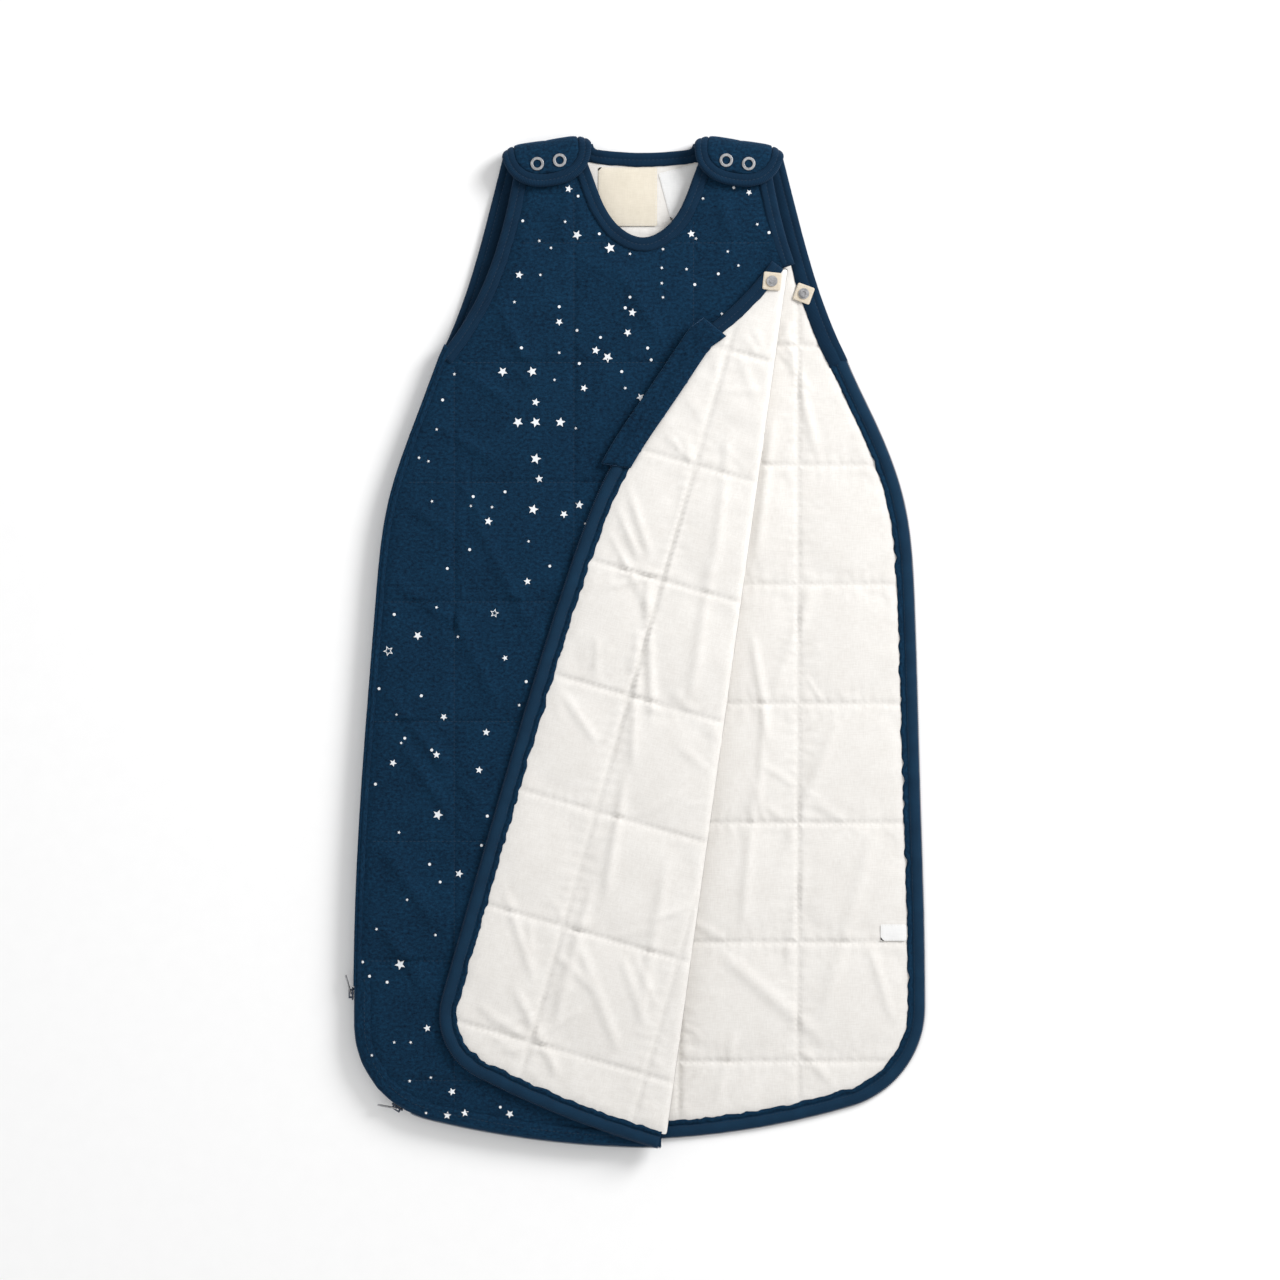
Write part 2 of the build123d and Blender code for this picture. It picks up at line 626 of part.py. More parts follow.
def tape_snap(plane, rise_radius, rise_bore, rise):
    """One half of a snap on such a tab: a flanged disc with a raised ring or post."""
    with BuildPart() as snap:
        with BuildSketch(plane.offset(TAB_TAPE)):
            with Locations((0, -TAB_SIDE / 2)):
                Circle(TAPE_SNAP_RADIUS)
        extrude(amount=TAPE_SNAP_FLANGE)
        with BuildSketch(plane.offset(TAB_TAPE + TAPE_SNAP_FLANGE)):
            with Locations((0, -TAB_SIDE / 2)):
                Circle(rise_radius)
                if rise_bore:
                    Circle(rise_bore, mode=Mode.SUBTRACT)
        extrude(amount=rise)
    return snap.part


def turned_plane(x, y, z, turn):
    """A level plane at a point, turned by some degrees."""
    return Plane(origin=(x, y, z), x_dir=(cos(radians(turn)), sin(radians(turn)), 0), z_dir=(0, 0, 1))


back_tab_plane = turned_plane(*BACK_TAB_AT, BACK_TOP + LIFT, BACK_TAB_TURN)
flap_tab_plane = turned_plane(*FLAP_TAB_AT, FLAP_BOTTOM + PANEL + LIFT, FLAP_TAB_TURN)
keep(tape_tab(back_tab_plane), "back_underarm_tab")
keep(tape_snap(back_tab_plane, *SOCKET_RING), "back_underarm_socket")
keep(tape_tab(flap_tab_plane), "flap_underarm_tab")
keep(tape_snap(flap_tab_plane, *STUD_PIN), "flap_underarm_stud")


# ---- labels ---------------------------------------------------------------------------------------
def label(centre, size, turn):
    """A woven label, lying flat on the back's lining."""
    with BuildPart() as patch:
        with BuildSketch(turned_plane(*centre, BACK_TOP, turn)):
            RectangleRounded(*size, 0.6)
        extrude(amount=LABEL_THICK)
    return patch.part


for name, place in LABELS.items():
    keep(label(*place), name)


# ---- zip sliders and their pulls ------------------------------------------------------------------
def slider_body(at, along, outward):
    """A slider that stands on edge, round the chain: two plates, a wedge and a bridge.

    It faces along the zip's edge towards the closed chain, with its wedge behind its middle."""
    plane = Plane(origin=at, x_dir=along, z_dir=outward)
    inner_plate = PLATE_GAP - THROAT
    with BuildPart() as slider:
        for bottom in (PLATE_GAP, inner_plate - PLATE):
            with BuildSketch(plane.offset(bottom)):
                SlotOverall(SLIDER_LENGTH, SLIDER_WIDTH - 1.4)
                RectangleRounded(SLIDER_LENGTH - 4.0, SLIDER_WIDTH, 1.2)
            extrude(amount=PLATE)
        with BuildSketch(plane.offset(inner_plate)):
            with Locations((WEDGE_AT, 0)):
                RectangleRounded(1.8, 2.0, 0.8)
        extrude(amount=THROAT)
        with BuildSketch(plane.offset(PLATE_GAP + PLATE)):
            RectangleRounded(BRIDGE_LENGTH, BRIDGE_WIDTH, 0.7)
        extrude(amount=BRIDGE_HEIGHT)
        with BuildSketch(plane.offset(PLATE_GAP + PLATE)):
            Rectangle(BRIDGE_EYE[0], BRIDGE_WIDTH + 2)
        extrude(amount=BRIDGE_EYE[1], mode=Mode.SUBTRACT)
    return slider.part


def slider_pull(pivot, direction):
    """A flat pull on edge, pointing in some direction from the bar through the slider's bridge."""
    face = Plane(origin=pivot, x_dir=direction, z_dir=(direction.Y, -direction.X, 0))
    with BuildPart() as pull:
        with BuildSketch(face.offset(-PULL_THICK / 2)):
            with Locations(((PULL_LENGTH - PULL_THICK) / 2, 0)):
                RectangleRounded(PULL_LENGTH, PULL_WIDTH, 1.0)
            with Locations((PULL_THICK / 2 + PULL_EYE[0] / 2, 0)):
                Rectangle(*PULL_EYE, mode=Mode.SUBTRACT)
        extrude(amount=PULL_THICK)
        fillet(pull.edges().filter_by(Axis.Z), 0.4)
    return pull.part


end_outward = Vector(-1, 0, 0)
end_at = Vector(END_SLIDER_X, END_SLIDER_Y, CHAIN_Z)
opening_outward = Vector(1, 0, 0).rotate(Axis.Z, OPENING_SLIDER_ANGLE)
opening_at = Vector(CORNER_CENTRE.X, CORNER_CENTRE.Y, CHAIN_Z) + opening_outward * LEFT_CORNER_RADIUS
end_pivot = end_at + end_outward * PULL_OUT
opening_pivot = opening_at + opening_outward * PULL_OUT

keep(slider_body(end_at, end_outward.rotate(Axis.Z, 90), end_outward), "end_slider")
keep(slider_body(opening_at, opening_outward.rotate(Axis.Z, -90), opening_outward), "opening_slider")
keep(slider_pull(end_pivot, end_outward.rotate(Axis.Z, -END_PULL_TURN)), "end_slider_pull")
keep(slider_pull(opening_pivot, opening_outward.rotate(Axis.Z, -OPENING_PULL_TURN)), "opening_slider_pull")

whole = Compound(children=list(made.values()))
box = whole.bounding_box()
print(f"{len(made)} pieces, {box.size.X:.1f} x {box.size.Y:.1f} x {box.size.Z:.1f} mm")
print(f"from {box.min} to {box.max}")
print(f"fold from {FOLD_FOOT} to {FOLD_TOP} at height {FOLD_Z}, direction {FOLD_DIRECTION}")
print(f"shoulder axes at {STRAP_MIDDLE}, height {SHOULDER_Z}, slope {STRAP_SLOPE}")
print(f"slider pulls turn about {end_pivot} and {opening_pivot}")
print(f"the opening slider runs round {CORNER_CENTRE}")
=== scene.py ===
"""The looks of a quilted baby sleeping bag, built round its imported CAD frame.

Units are metres, in the CAD's frame. The front panel is one flat pattern. It is drawn closed, and
fold_over() carries what lies right of the fold line over to where it lies folded open.
"""

import json
import math
import random

import bmesh
import bpy
import numpy as np
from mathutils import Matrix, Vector, noise
from mathutils.bvhtree import BVHTree
from mathutils.geometry import delaunay_2d_cdt


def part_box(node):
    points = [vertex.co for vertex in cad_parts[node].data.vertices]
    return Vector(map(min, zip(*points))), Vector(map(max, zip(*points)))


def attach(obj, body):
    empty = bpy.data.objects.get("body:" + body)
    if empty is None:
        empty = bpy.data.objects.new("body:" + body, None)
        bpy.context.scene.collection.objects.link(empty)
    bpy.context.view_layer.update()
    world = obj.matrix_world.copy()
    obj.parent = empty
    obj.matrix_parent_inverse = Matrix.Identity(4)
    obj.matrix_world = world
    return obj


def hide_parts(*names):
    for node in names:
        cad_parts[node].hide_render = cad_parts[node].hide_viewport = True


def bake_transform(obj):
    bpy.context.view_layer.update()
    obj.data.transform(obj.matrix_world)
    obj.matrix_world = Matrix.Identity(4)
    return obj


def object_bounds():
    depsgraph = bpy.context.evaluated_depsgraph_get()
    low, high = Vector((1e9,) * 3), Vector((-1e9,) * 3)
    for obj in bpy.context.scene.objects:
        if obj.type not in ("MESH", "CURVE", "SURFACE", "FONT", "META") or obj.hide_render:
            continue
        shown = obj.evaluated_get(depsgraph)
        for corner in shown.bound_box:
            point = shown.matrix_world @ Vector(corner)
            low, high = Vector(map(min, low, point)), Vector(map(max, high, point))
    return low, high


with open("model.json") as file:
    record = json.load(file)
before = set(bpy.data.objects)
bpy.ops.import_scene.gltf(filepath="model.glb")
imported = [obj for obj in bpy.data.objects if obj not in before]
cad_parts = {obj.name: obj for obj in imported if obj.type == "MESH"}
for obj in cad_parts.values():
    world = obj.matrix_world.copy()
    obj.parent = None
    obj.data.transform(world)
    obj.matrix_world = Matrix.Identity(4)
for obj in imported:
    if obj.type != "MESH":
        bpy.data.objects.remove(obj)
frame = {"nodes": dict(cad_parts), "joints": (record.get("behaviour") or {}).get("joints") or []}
cad_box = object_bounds()
random.seed(7)
MM = 0.001
UP = Vector((0, 0, 1))

# ---- what the CAD says ---------------------------------------------------------------------------
JOINTS = {j["name"]: j for j in frame["joints"]}
FOLD_AT = Vector(JOINTS["flap_fold"]["pos_m"])
FOLD_ALONG = Vector(JOINTS["flap_fold"]["axis"])
FOLD_OUT = FOLD_ALONG.cross(UP)
BACK_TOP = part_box("back_lining")[1].z
FRONT_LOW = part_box("front_lining")[0].z
FRONT_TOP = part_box("front_shell")[1].z
PANEL = FRONT_TOP - FRONT_LOW
NEARLY_ROUND = 0.96  # the two halves of the fold stop this far round, just short of each other
ARC = 7 * MM  # extra width of each half of the front panel where it goes round the fold

QUILT = 101.6 * MM  # side of a quilting square
CELL = QUILT / 20
BACK_QUILT = (30.5 * MM, -53 * MM)  # a crossing of quilting lines, on the back
FRONT_QUILT = (43 * MM, -68 * MM)  # and on the front
COARSE = 10 * MM  # spacing of an outline that distances are measured to


def along_and_out(points):
    """Splits points of the front's flat pattern into places along the fold line and out from it."""
    away = points[:, :2] - np.array(FOLD_AT)[:2]
    return away @ np.array(FOLD_ALONG)[:2], away @ np.array(FOLD_OUT)[:2]


def turned_back(points):
    """Where flat points of the opened flap lie when it is closed. It works the other way too."""
    along, out = along_and_out(np.asarray(points, float))
    base = np.array(FOLD_AT)[:2] + along[:, None] * np.array(FOLD_ALONG)[:2]
    return base - out[:, None] * np.array(FOLD_OUT)[:2]


def fold_over(points, side):
    """Moves points of the closed front to where they lie with the flap folded open.

    side is "main" or "flap". Both go a quarter of the way round the fold past the fold line."""
    along, out = along_and_out(points)
    lift = FOLD_AT.z - points[:, 2]
    if side == "main":
        angle = -math.pi / 2 * (1 - NEARLY_ROUND * np.clip(out / ARC, 0, 1))
        across = np.where(out > 0, lift * np.cos(angle), out)
        height = np.where(out > 0, FOLD_AT.z + lift * np.sin(angle), points[:, 2])
    else:
        angle = math.pi / 2 * (1 - NEARLY_ROUND * np.clip(-out / ARC, 0, 1))
        across = np.where(out < 0, lift * np.cos(angle), -out)
        height = np.where(out < 0, FOLD_AT.z + lift * np.sin(angle), FOLD_AT.z + lift)
    base = np.array(FOLD_AT)[:2] + along[:, None] * np.array(FOLD_ALONG)[:2]
    return np.column_stack([base + across[:, None] * np.array(FOLD_OUT)[:2], height])


def as_they_are(points):
    return points


def eased(share):
    """A share from 0 to 1 that starts and ends gently."""
    return share * share * (3 - 2 * share)


def on_main(points):
    return fold_over(points, "main")


def on_flap(points):
    return fold_over(points, "flap")


# ---- outlines, read from the CAD nodes -----------------------------------------------------------
def signed_area(loop):
    x, y = loop[:, 0], loop[:, 1]
    return 0.5 * float(np.sum(x * np.roll(y, -1) - np.roll(x, -1) * y))


def outline_of(node, closed_front=False):
    """The outline of a node's upper face, anticlockwise. A flap node is first turned back to closed."""
    mesh = frame["nodes"][node].data
    keys = [tuple(round(c, 5) for c in v.co) for v in mesh.vertices]
    top = max(k[2] for k in keys)
    steps = {}
    for face in mesh.polygons:
        corners = [keys[i] for i in face.vertices]
        if face.normal.z > 0.9 and min(c[2] for c in corners) > top - 0.1 * MM:
            for a, b in zip(corners, corners[1:] + corners[:1]):
                if a != b:
                    steps.setdefault(a, set()).add(b)
    border = {a: b for a, bs in steps.items() for b in bs if a not in steps.get(b, ())}
    loops = []
    while border:
        start, point = next(iter(border.items()))
        del border[start]
        loop = [start]
        while point in border:
            loop.append(point)
            point = border.pop(point)
        loops.append(np.array(loop)[:, :2])
    loop = max(loops, key=lambda p: abs(signed_area(p)))
    if closed_front:
        loop = turned_back(loop)
    return loop if signed_area(loop) > 0 else loop[::-1]


def distance_to(points, outline):
    """How far each point is from a closed outline."""
    best = np.full(len(points), 1e9)
    for a, b in zip(outline, np.roll(outline, -1, 0)):
        run = b - a
        share = np.clip((points - a) @ run / max(float(run @ run), 1e-18), 0, 1)
        best = np.minimum(best, np.linalg.norm(points - a - share[:, None] * run, axis=1))
    return best


def inside(points, loop):
    """Which points lie inside a closed outline."""
    x, y = points[:, 0], points[:, 1]
    odd = np.zeros(len(points), bool)
    for (ax, ay), (bx, by) in zip(loop, np.roll(loop, -1, 0)):
        crosses = (ay > y) != (by > y)
        with np.errstate(divide="ignore", invalid="ignore"):
            odd ^= crosses & (x < (bx - ax) * (y - ay) / (by - ay) + ax)
    return odd


def lengths_along(line):
    """How far along a polyline each of its points is."""
    return np.concatenate([[0], np.cumsum(np.linalg.norm(np.diff(line, axis=0), axis=1))])


def evenly(line, step):
    """A polyline with its points evenly spaced, ends kept."""
    lengths = lengths_along(line)
    count = max(2, int(round(lengths[-1] / step)) + 1)
    at = np.linspace(0, lengths[-1], count)
    return np.column_stack([np.interp(at, lengths, line[:, k]) for k in range(line.shape[1])])


def corner_angles(line):
    """How sharply an open polyline turns at each inner point, in degrees."""
    runs = np.diff(line, axis=0)
    angles = np.degrees(np.arctan2(runs[:, 1], runs[:, 0]))
    return np.abs((np.diff(angles) + 180) % 360 - 180)


def split_at_corners(line, limit=30):
    """Cuts an open polyline into smooth runs."""
    line = line[np.concatenate([[True], np.linalg.norm(np.diff(line, axis=0), axis=1) > 0.05 * MM])]
    cuts = [0] + [i + 1 for i, a in enumerate(corner_angles(line)) if a > limit] + [len(line) - 1]
    return [line[a:b + 1] for a, b in zip(cuts, cuts[1:]) if b > a]


def even_outline(loop, step):
    """A closed outline with evenly spaced points, its corners kept."""
    closed = np.vstack([loop, loop[:1]])
    runs = [evenly(run, step) for run in split_at_corners(closed, 25)]
    return np.vstack([run[:-1] for run in runs])


def smoothed(run, times):
    """A run with its bends evened out, ends kept."""
    for _ in range(times):
        run[1:-1] = (run[:-2] + 2 * run[1:-1] + run[2:]) / 4
    return run


def shared_edge(plate, rim, step=2.5 * MM):
    """Where a rim's outline runs along a plate's: a smooth run of points, anticlockwise round the plate."""
    touching = distance_to(rim, plate) < 0.2 * MM
    first = next(i for i in range(len(rim)) if touching[i] and not touching[i - 1])
    rim = np.roll(rim, -first, 0)
    touching = np.roll(touching, -first)
    length = next((i for i in range(len(rim)) if not touching[i]), len(rim))
    smooth_runs = split_at_corners(rim[:length])
    longest = max(smooth_runs, key=lambda run: lengths_along(run)[-1])
    return smoothed(evenly(longest[::-1], step), 3)


def outward(run):
    """Unit normals of a run that goes anticlockwise round its plate."""
    steps = np.gradient(run, axis=0)
    steps /= np.linalg.norm(steps, axis=1)[:, None]
    return np.column_stack([steps[:, 1], -steps[:, 0]])


BACK = outline_of("back_lining")
MAIN = outline_of("front_shell")
FLAP = outline_of("flap_lining", closed_front=True)
FLAP_OPEN = outline_of("flap_lining")


# ---- materials -----------------------------------------------------------------------------------
class Shader:
    """A material under construction: helpers that add and link nodes."""

    def __init__(self, name, roughness, sheen=0.0, sheen_tint=(1, 1, 1), metallic=0.0, specular=0.3):
        self.material = bpy.data.materials.new(name)
        self.material.use_nodes = True
        self.tree = self.material.node_tree
        self.base = self.tree.nodes["Principled BSDF"]
        self.base.inputs["Roughness"].default_value = roughness
        self.base.inputs["Sheen Weight"].default_value = sheen
        self.base.inputs["Sheen Roughness"].default_value = 0.5
        self.base.inputs["Sheen Tint"].default_value = (*sheen_tint, 1)
        self.base.inputs["Metallic"].default_value = metallic
        self.base.inputs["Specular IOR Level"].default_value = specular

    def node(self, kind, settings=(), **inputs):
        made = self.tree.nodes.new(kind)
        for key, value in dict(settings).items():
            setattr(made, key, value)
        for key, value in inputs.items():
            socket = made.inputs[int(key[1:])] if key[0] == "_" else made.inputs[key.replace("_", " ")]
            if isinstance(value, bpy.types.NodeSocket):
                self.tree.links.new(value, socket)
            else:
                socket.default_value = value
        return made

    def place(self, use_uv=True):
        if use_uv:
            return self.node("ShaderNodeUVMap", {"uv_map": "flat"}).outputs[0]
        return self.node("ShaderNodeTexCoord").outputs["Object"]

    def scaled(self, where, x, y):
        return self.node("ShaderNodeMapping", Vector=where, Scale=(x, y, 1.0)).outputs[0]

    def wave(self, where, direction, distortion=0.0, detail=0.0):
        made = self.node("ShaderNodeTexWave", {"bands_direction": direction, "wave_profile": "SIN"},
                         Vector=where, Scale=1.0, Distortion=distortion, Detail=detail)
        return made.outputs["Fac"]

    def noise(self, where, scale, detail=2.0, roughness=0.5):
        made = self.node("ShaderNodeTexNoise", Vector=where, Scale=scale, Detail=detail, Roughness=roughness)
        return made.outputs["Fac"]

    def maths(self, operation, a, b=0.0):
        return self.node("ShaderNodeMath", {"operation": operation}, _0=a, _1=b).outputs[0]

    def between(self, share, low, high):
        made = self.node("ShaderNodeMix", {"data_type": "RGBA"})
        self.tree.links.new(share, made.inputs[0])
        for socket, colour in ((made.inputs[6], low), (made.inputs[7], high)):
            if isinstance(colour, bpy.types.NodeSocket):
                self.tree.links.new(colour, socket)
            else:
                socket.default_value = (*colour, 1)
        return made.outputs[2]

    def ramp(self, value, low, high):
        made = self.node("ShaderNodeMapRange", Value=value, From_Min=low, From_Max=high)
        return made.outputs[0]

    def finish(self, colour, height=None, depth=0.1 * MM):
        self.tree.links.new(colour, self.base.inputs["Base Color"])
        if height is not None:
            bump = self.node("ShaderNodeBump", Height=height, Distance=depth, Strength=1.0)
            self.tree.links.new(bump.outputs[0], self.base.inputs["Normal"])
        return self.material


WAVE = math.pi / 10  # the length of one wave of a Wave texture at scale 1


def woven(name, dark, light, pitch, depth, roughness=0.9, sheen=0.15, slub=0.5):
    """A plain weave: threads crossing at right angles, with slubs and a soft colour variation."""
    s = Shader(name, roughness, sheen)
    flat = s.place()
    per_metre = WAVE / pitch
    threads = s.scaled(flat, per_metre, per_metre)
    weave = s.maths("MULTIPLY", s.wave(threads, "X"), s.wave(threads, "Y"))
    slubs = s.noise(s.scaled(flat, 130, 1100), 1.0, 3.0)
    cross_slubs = s.noise(s.scaled(flat, 1100, 130), 1.0, 3.0)
    cloudy = s.noise(flat, 45.0, 4.0, 0.6)
    share = s.maths("ADD", s.maths("MULTIPLY", s.maths("ADD", slubs, cross_slubs), slub),
                    s.maths("MULTIPLY", cloudy, 0.4))
    colour = s.between(s.ramp(share, 0.45, 0.95), dark, light)
    height = s.maths("ADD", s.maths("MULTIPLY", weave, 0.6), s.maths("MULTIPLY", share, 0.6))
    return s.finish(colour, height, depth)


def knit(name, dark, light, wale, depth, roughness=0.92, sheen=0.30, tint=(0.25, 0.45, 0.8), heather=0.5):
    """A fine jersey: slanting stitches in columns, with a heathered yarn."""
    s = Shader(name, roughness, sheen, tint, specular=0.12)
    s.base.inputs["Sheen Roughness"].default_value = 0.3
    flat = s.place()
    per_metre = WAVE / wale
    columns = s.wave(s.scaled(flat, per_metre, per_metre * 0.8), "X", 1.2, 1.0)
    courses = s.wave(s.scaled(flat, per_metre * 1.3, per_metre * 1.3), "Y", 1.5, 1.0)
    yarn = s.noise(s.scaled(flat, 300, 430), 1.0, 4.0, 0.8)
    cloudy = s.noise(flat, 30.0, 5.0, 0.6)
    share = s.maths("ADD", s.maths("MULTIPLY", yarn, heather), s.maths("MULTIPLY", cloudy, 0.10))
    colour = s.between(s.ramp(share, 0.20, 0.41), dark, light)
    height = s.maths("ADD", s.maths("MULTIPLY", s.maths("MULTIPLY", columns, courses), 0.7), yarn)
    return s.finish(colour, height, depth)


def ribbed(name, dark, light, rib, depth, roughness=0.9, sheen=0.08):
    """Ribs across a band, whose UV runs along it in u and across it in v, in metres."""
    s = Shader(name, roughness, sheen, (0.3, 0.5, 0.85), specular=0.15)
    flat = s.place()
    per_metre = WAVE / rib
    ribs = s.wave(s.scaled(flat, per_metre, per_metre * 0.1), "X", 0.6, 1.0)
    yarn = s.noise(s.scaled(flat, 1500, 1200), 1.0, 3.0, 0.6)
    cloudy = s.noise(flat, 60.0, 3.0)
    share = s.maths("ADD", s.maths("MULTIPLY", ribs, 0.35),
                    s.maths("ADD", s.maths("MULTIPLY", yarn, 0.4), s.maths("MULTIPLY", cloudy, 0.4)))
    colour = s.between(s.ramp(share, 0.3, 0.85), dark, light)
    return s.finish(colour, s.maths("ADD", s.maths("MULTIPLY", ribs, 0.8), yarn), depth)


def metal(name, colour, dark, roughness, scratch):
    s = Shader(name, roughness, metallic=1.0, specular=0.5)
    where = s.place(use_uv=False)
    wear = s.noise(where, 900.0, 4.0, 0.7)
    patina = s.noise(where, 160.0, 3.0)
    shade = s.between(s.ramp(s.maths("ADD", wear, patina), 0.7, 1.4), dark, colour)
    rough = s.ramp(wear, -1.2, 2.4)
    s.tree.links.new(rough, s.base.inputs["Roughness"])
    return s.finish(shade, wear, scratch)


def enamel(name, colour, worn, roughness):
    s = Shader(name, roughness, specular=0.5)
    where = s.place(use_uv=False)
    wear = s.noise(where, 700.0, 5.0, 0.7)
    shade = s.between(s.ramp(wear, 0.55, 0.75), colour, worn)
    return s.finish(shade, wear, 0.05 * MM)


NAVY_DARK, NAVY_LIGHT = (0.0004, 0.0058, 0.0170), (0.0052, 0.0385, 0.0860)
LOOKS = {
    "navy": knit("navy_jersey", NAVY_DARK, NAVY_LIGHT, 0.9 * MM, 0.10 * MM),
    "white": woven("white_cotton", (0.69, 0.662, 0.625), (0.82, 0.80, 0.77), 0.55 * MM, 0.10 * MM),
    "rib": ribbed("navy_rib", (0.0010, 0.0098, 0.0265), (0.0036, 0.0270, 0.0620), 1.1 * MM, 0.14 * MM),
    "tape": ribbed("zip_tape", (0.0008, 0.0130, 0.0340), (0.0040, 0.0350, 0.0780), 0.8 * MM, 0.14 * MM,
                   0.75),
    "coil": enamel("nylon_coil", (0.012, 0.038, 0.085), (0.03, 0.07, 0.13), 0.4),
    "print": woven("star_print", (0.70, 0.73, 0.76), (0.86, 0.87, 0.88), 0.5 * MM, 0.05 * MM, 0.7, 0.0),
    "navy_thread": woven("navy_thread", (0.002, 0.014, 0.035), (0.007, 0.030, 0.064), 0.3 * MM, 0.05 * MM,
                         0.6),
    "white_thread": woven("white_thread", (0.68, 0.66, 0.62), (0.77, 0.75, 0.72), 0.3 * MM, 0.05 * MM,
                          0.6),
    "twill": woven("beige_twill", (0.56, 0.48, 0.37), (0.72, 0.64, 0.52), 0.8 * MM, 0.12 * MM),
    "cream": woven("cream_damask", (0.66, 0.60, 0.49), (0.76, 0.70, 0.59), 0.45 * MM, 0.07 * MM, 0.75),
    "satin": woven("white_satin", (0.76, 0.76, 0.76), (0.84, 0.84, 0.83), 0.35 * MM, 0.04 * MM, 0.5),
    "nickel": metal("nickel", (0.62, 0.62, 0.63), (0.24, 0.24, 0.25), 0.25, 0.02 * MM),
    "slider": enamel("slider_enamel", (0.010, 0.026, 0.060), (0.16, 0.17, 0.19), 0.35),
}


# ---- meshes --------------------------------------------------------------------------------------
def new_object(name, data):
    made = bpy.data.objects.new(name, data)
    bpy.context.scene.collection.objects.link(made)
    return made


def new_piece(name, points, faces, look, flat=None):
    """A mesh object with a material and, where given, flat coordinates for it, one pair a point."""
    mesh = bpy.data.meshes.new(name)
    mesh.from_pydata([tuple(p) for p in points], [], [list(map(int, f)) for f in faces])
    mesh.validate()
    piece = new_object(name, mesh)
    mesh.materials.append(LOOKS[look])
    if flat is not None:
        layer = mesh.uv_layers.new(name="flat")
        ids = np.zeros(len(mesh.loops), int)
        mesh.loops.foreach_get("vertex_index", ids)
        layer.data.foreach_set("uv", np.asarray(flat, float)[ids].astype(np.float32).ravel())
    mesh.polygons.foreach_set("use_smooth", [True] * len(mesh.polygons))
    return piece


def settle(piece, body, slot, *nodes):
    """Puts a finished piece on its body, in the place of the CAD nodes that it stands for."""
    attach(piece, body)
    if nodes:
        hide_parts(*nodes)
    return piece


def triangulated(loop, step, origin=None):
    """Fills an outline with a square grid of points, lined up with origin, and triangles between them."""
    border = even_outline(loop, step)
    low, high = border.min(0), border.max(0)
    origin = np.array(origin if origin is not None else (low + high) / 2)
    first, last = np.floor((low - origin) / step), np.ceil((high - origin) / step)
    grid = np.array([origin + step * np.array((i, j))
                     for i in np.arange(first[0], last[0] + 1) for j in np.arange(first[1], last[1] + 1)])
    grid = grid[inside(grid, border)]
    grid = grid[distance_to(grid, border) > 0.45 * step]
    points = [Vector(p) for p in np.vstack([border, grid])]
    made = delaunay_2d_cdt(points, [], [list(range(len(border)))], 1, 1e-7)
    bm = bmesh.new()
    verts = [bm.verts.new((p.x, p.y, 0)) for p in made[0]]
    for face in made[2]:
        bm.faces.new([verts[i] for i in face])
    bmesh.ops.join_triangles(bm, faces=bm.faces[:], angle_face_threshold=0.6, angle_shape_threshold=0.9)
    bm.verts.index_update()
    faces = [[v.index for v in f.verts] for f in bm.faces]
    bm.free()
    return np.array([tuple(p) for p in made[0]]), faces


def waves(points, size, seed, octaves=3):
    """Smooth noise over flat points, from about -1 to 1. It is worked out on a grid and filled in between."""
    step = size / (4 * 2 ** (octaves - 1))
    low = np.floor(points.min(0) / step)
    count = np.ceil(points.max(0) / step) - low + 2

    def height(i, j):
        spot = Vector(((low[0] + i) * step / size, (low[1] + j) * step / size, seed))
        return noise.fractal(spot, 0.8, 2.0, octaves)

    grid = np.array([[height(i, j) for j in range(int(count[1]))] for i in range(int(count[0]))])
    at = points / step - low
    cell = at.astype(int)
    share = eased(at - cell)
    (i, j), (u, v) = cell.T, share.T
    return ((grid[i, j] * (1 - u) + grid[i + 1, j] * u) * (1 - v)
            + (grid[i, j + 1] * (1 - u) + grid[i + 1, j + 1] * u) * v)


def offsets_from_lines(points, origin):
    """Signed distances from the nearest quilting line, across and along."""
    return tuple((points[:, k] - origin[k] + QUILT / 2) % QUILT - QUILT / 2 for k in (0, 1))


def simulated(points, faces, pins, growth, pressure, frames=16):
    """Sews a flat cloth down at its pinned points, lets it grow and blows it up. Gives each point's move."""
    mesh = bpy.data.meshes.new("cloth")
    mesh.from_pydata([(x, y, 0) for x, y in points], [], [list(f) for f in faces])
    piece = new_object("cloth", mesh)
    group = piece.vertex_groups.new(name="pins")
    group.add([int(i) for i in np.where(pins)[0]], 1.0, "REPLACE")
    modifier = piece.modifiers.new("cloth", "CLOTH")
    cloth = modifier.settings
    cloth.quality = 4
    cloth.mass = 0.15
    cloth.tension_stiffness = cloth.compression_stiffness = 20
    cloth.shear_stiffness = 8
    cloth.bending_stiffness = 0.4
    cloth.air_damping = 4
    cloth.vertex_group_mass = "pins"
    cloth.use_pressure = True
    cloth.uniform_pressure_force = pressure
    cloth.shrink_min = -growth
    cloth.effector_weights.gravity = 0
    modifier.collision_settings.use_collision = False
    modifier.point_cache.frame_end = frames
    for step in range(1, frames + 1):
        bpy.context.scene.frame_set(step)
    after = piece.evaluated_get(bpy.context.evaluated_depsgraph_get()).to_mesh()
    moved = np.array([v.co for v in after.vertices]) - np.column_stack([points, np.zeros(len(points))])
    bpy.data.objects.remove(piece)
    bpy.context.scene.frame_set(1)
    return moved


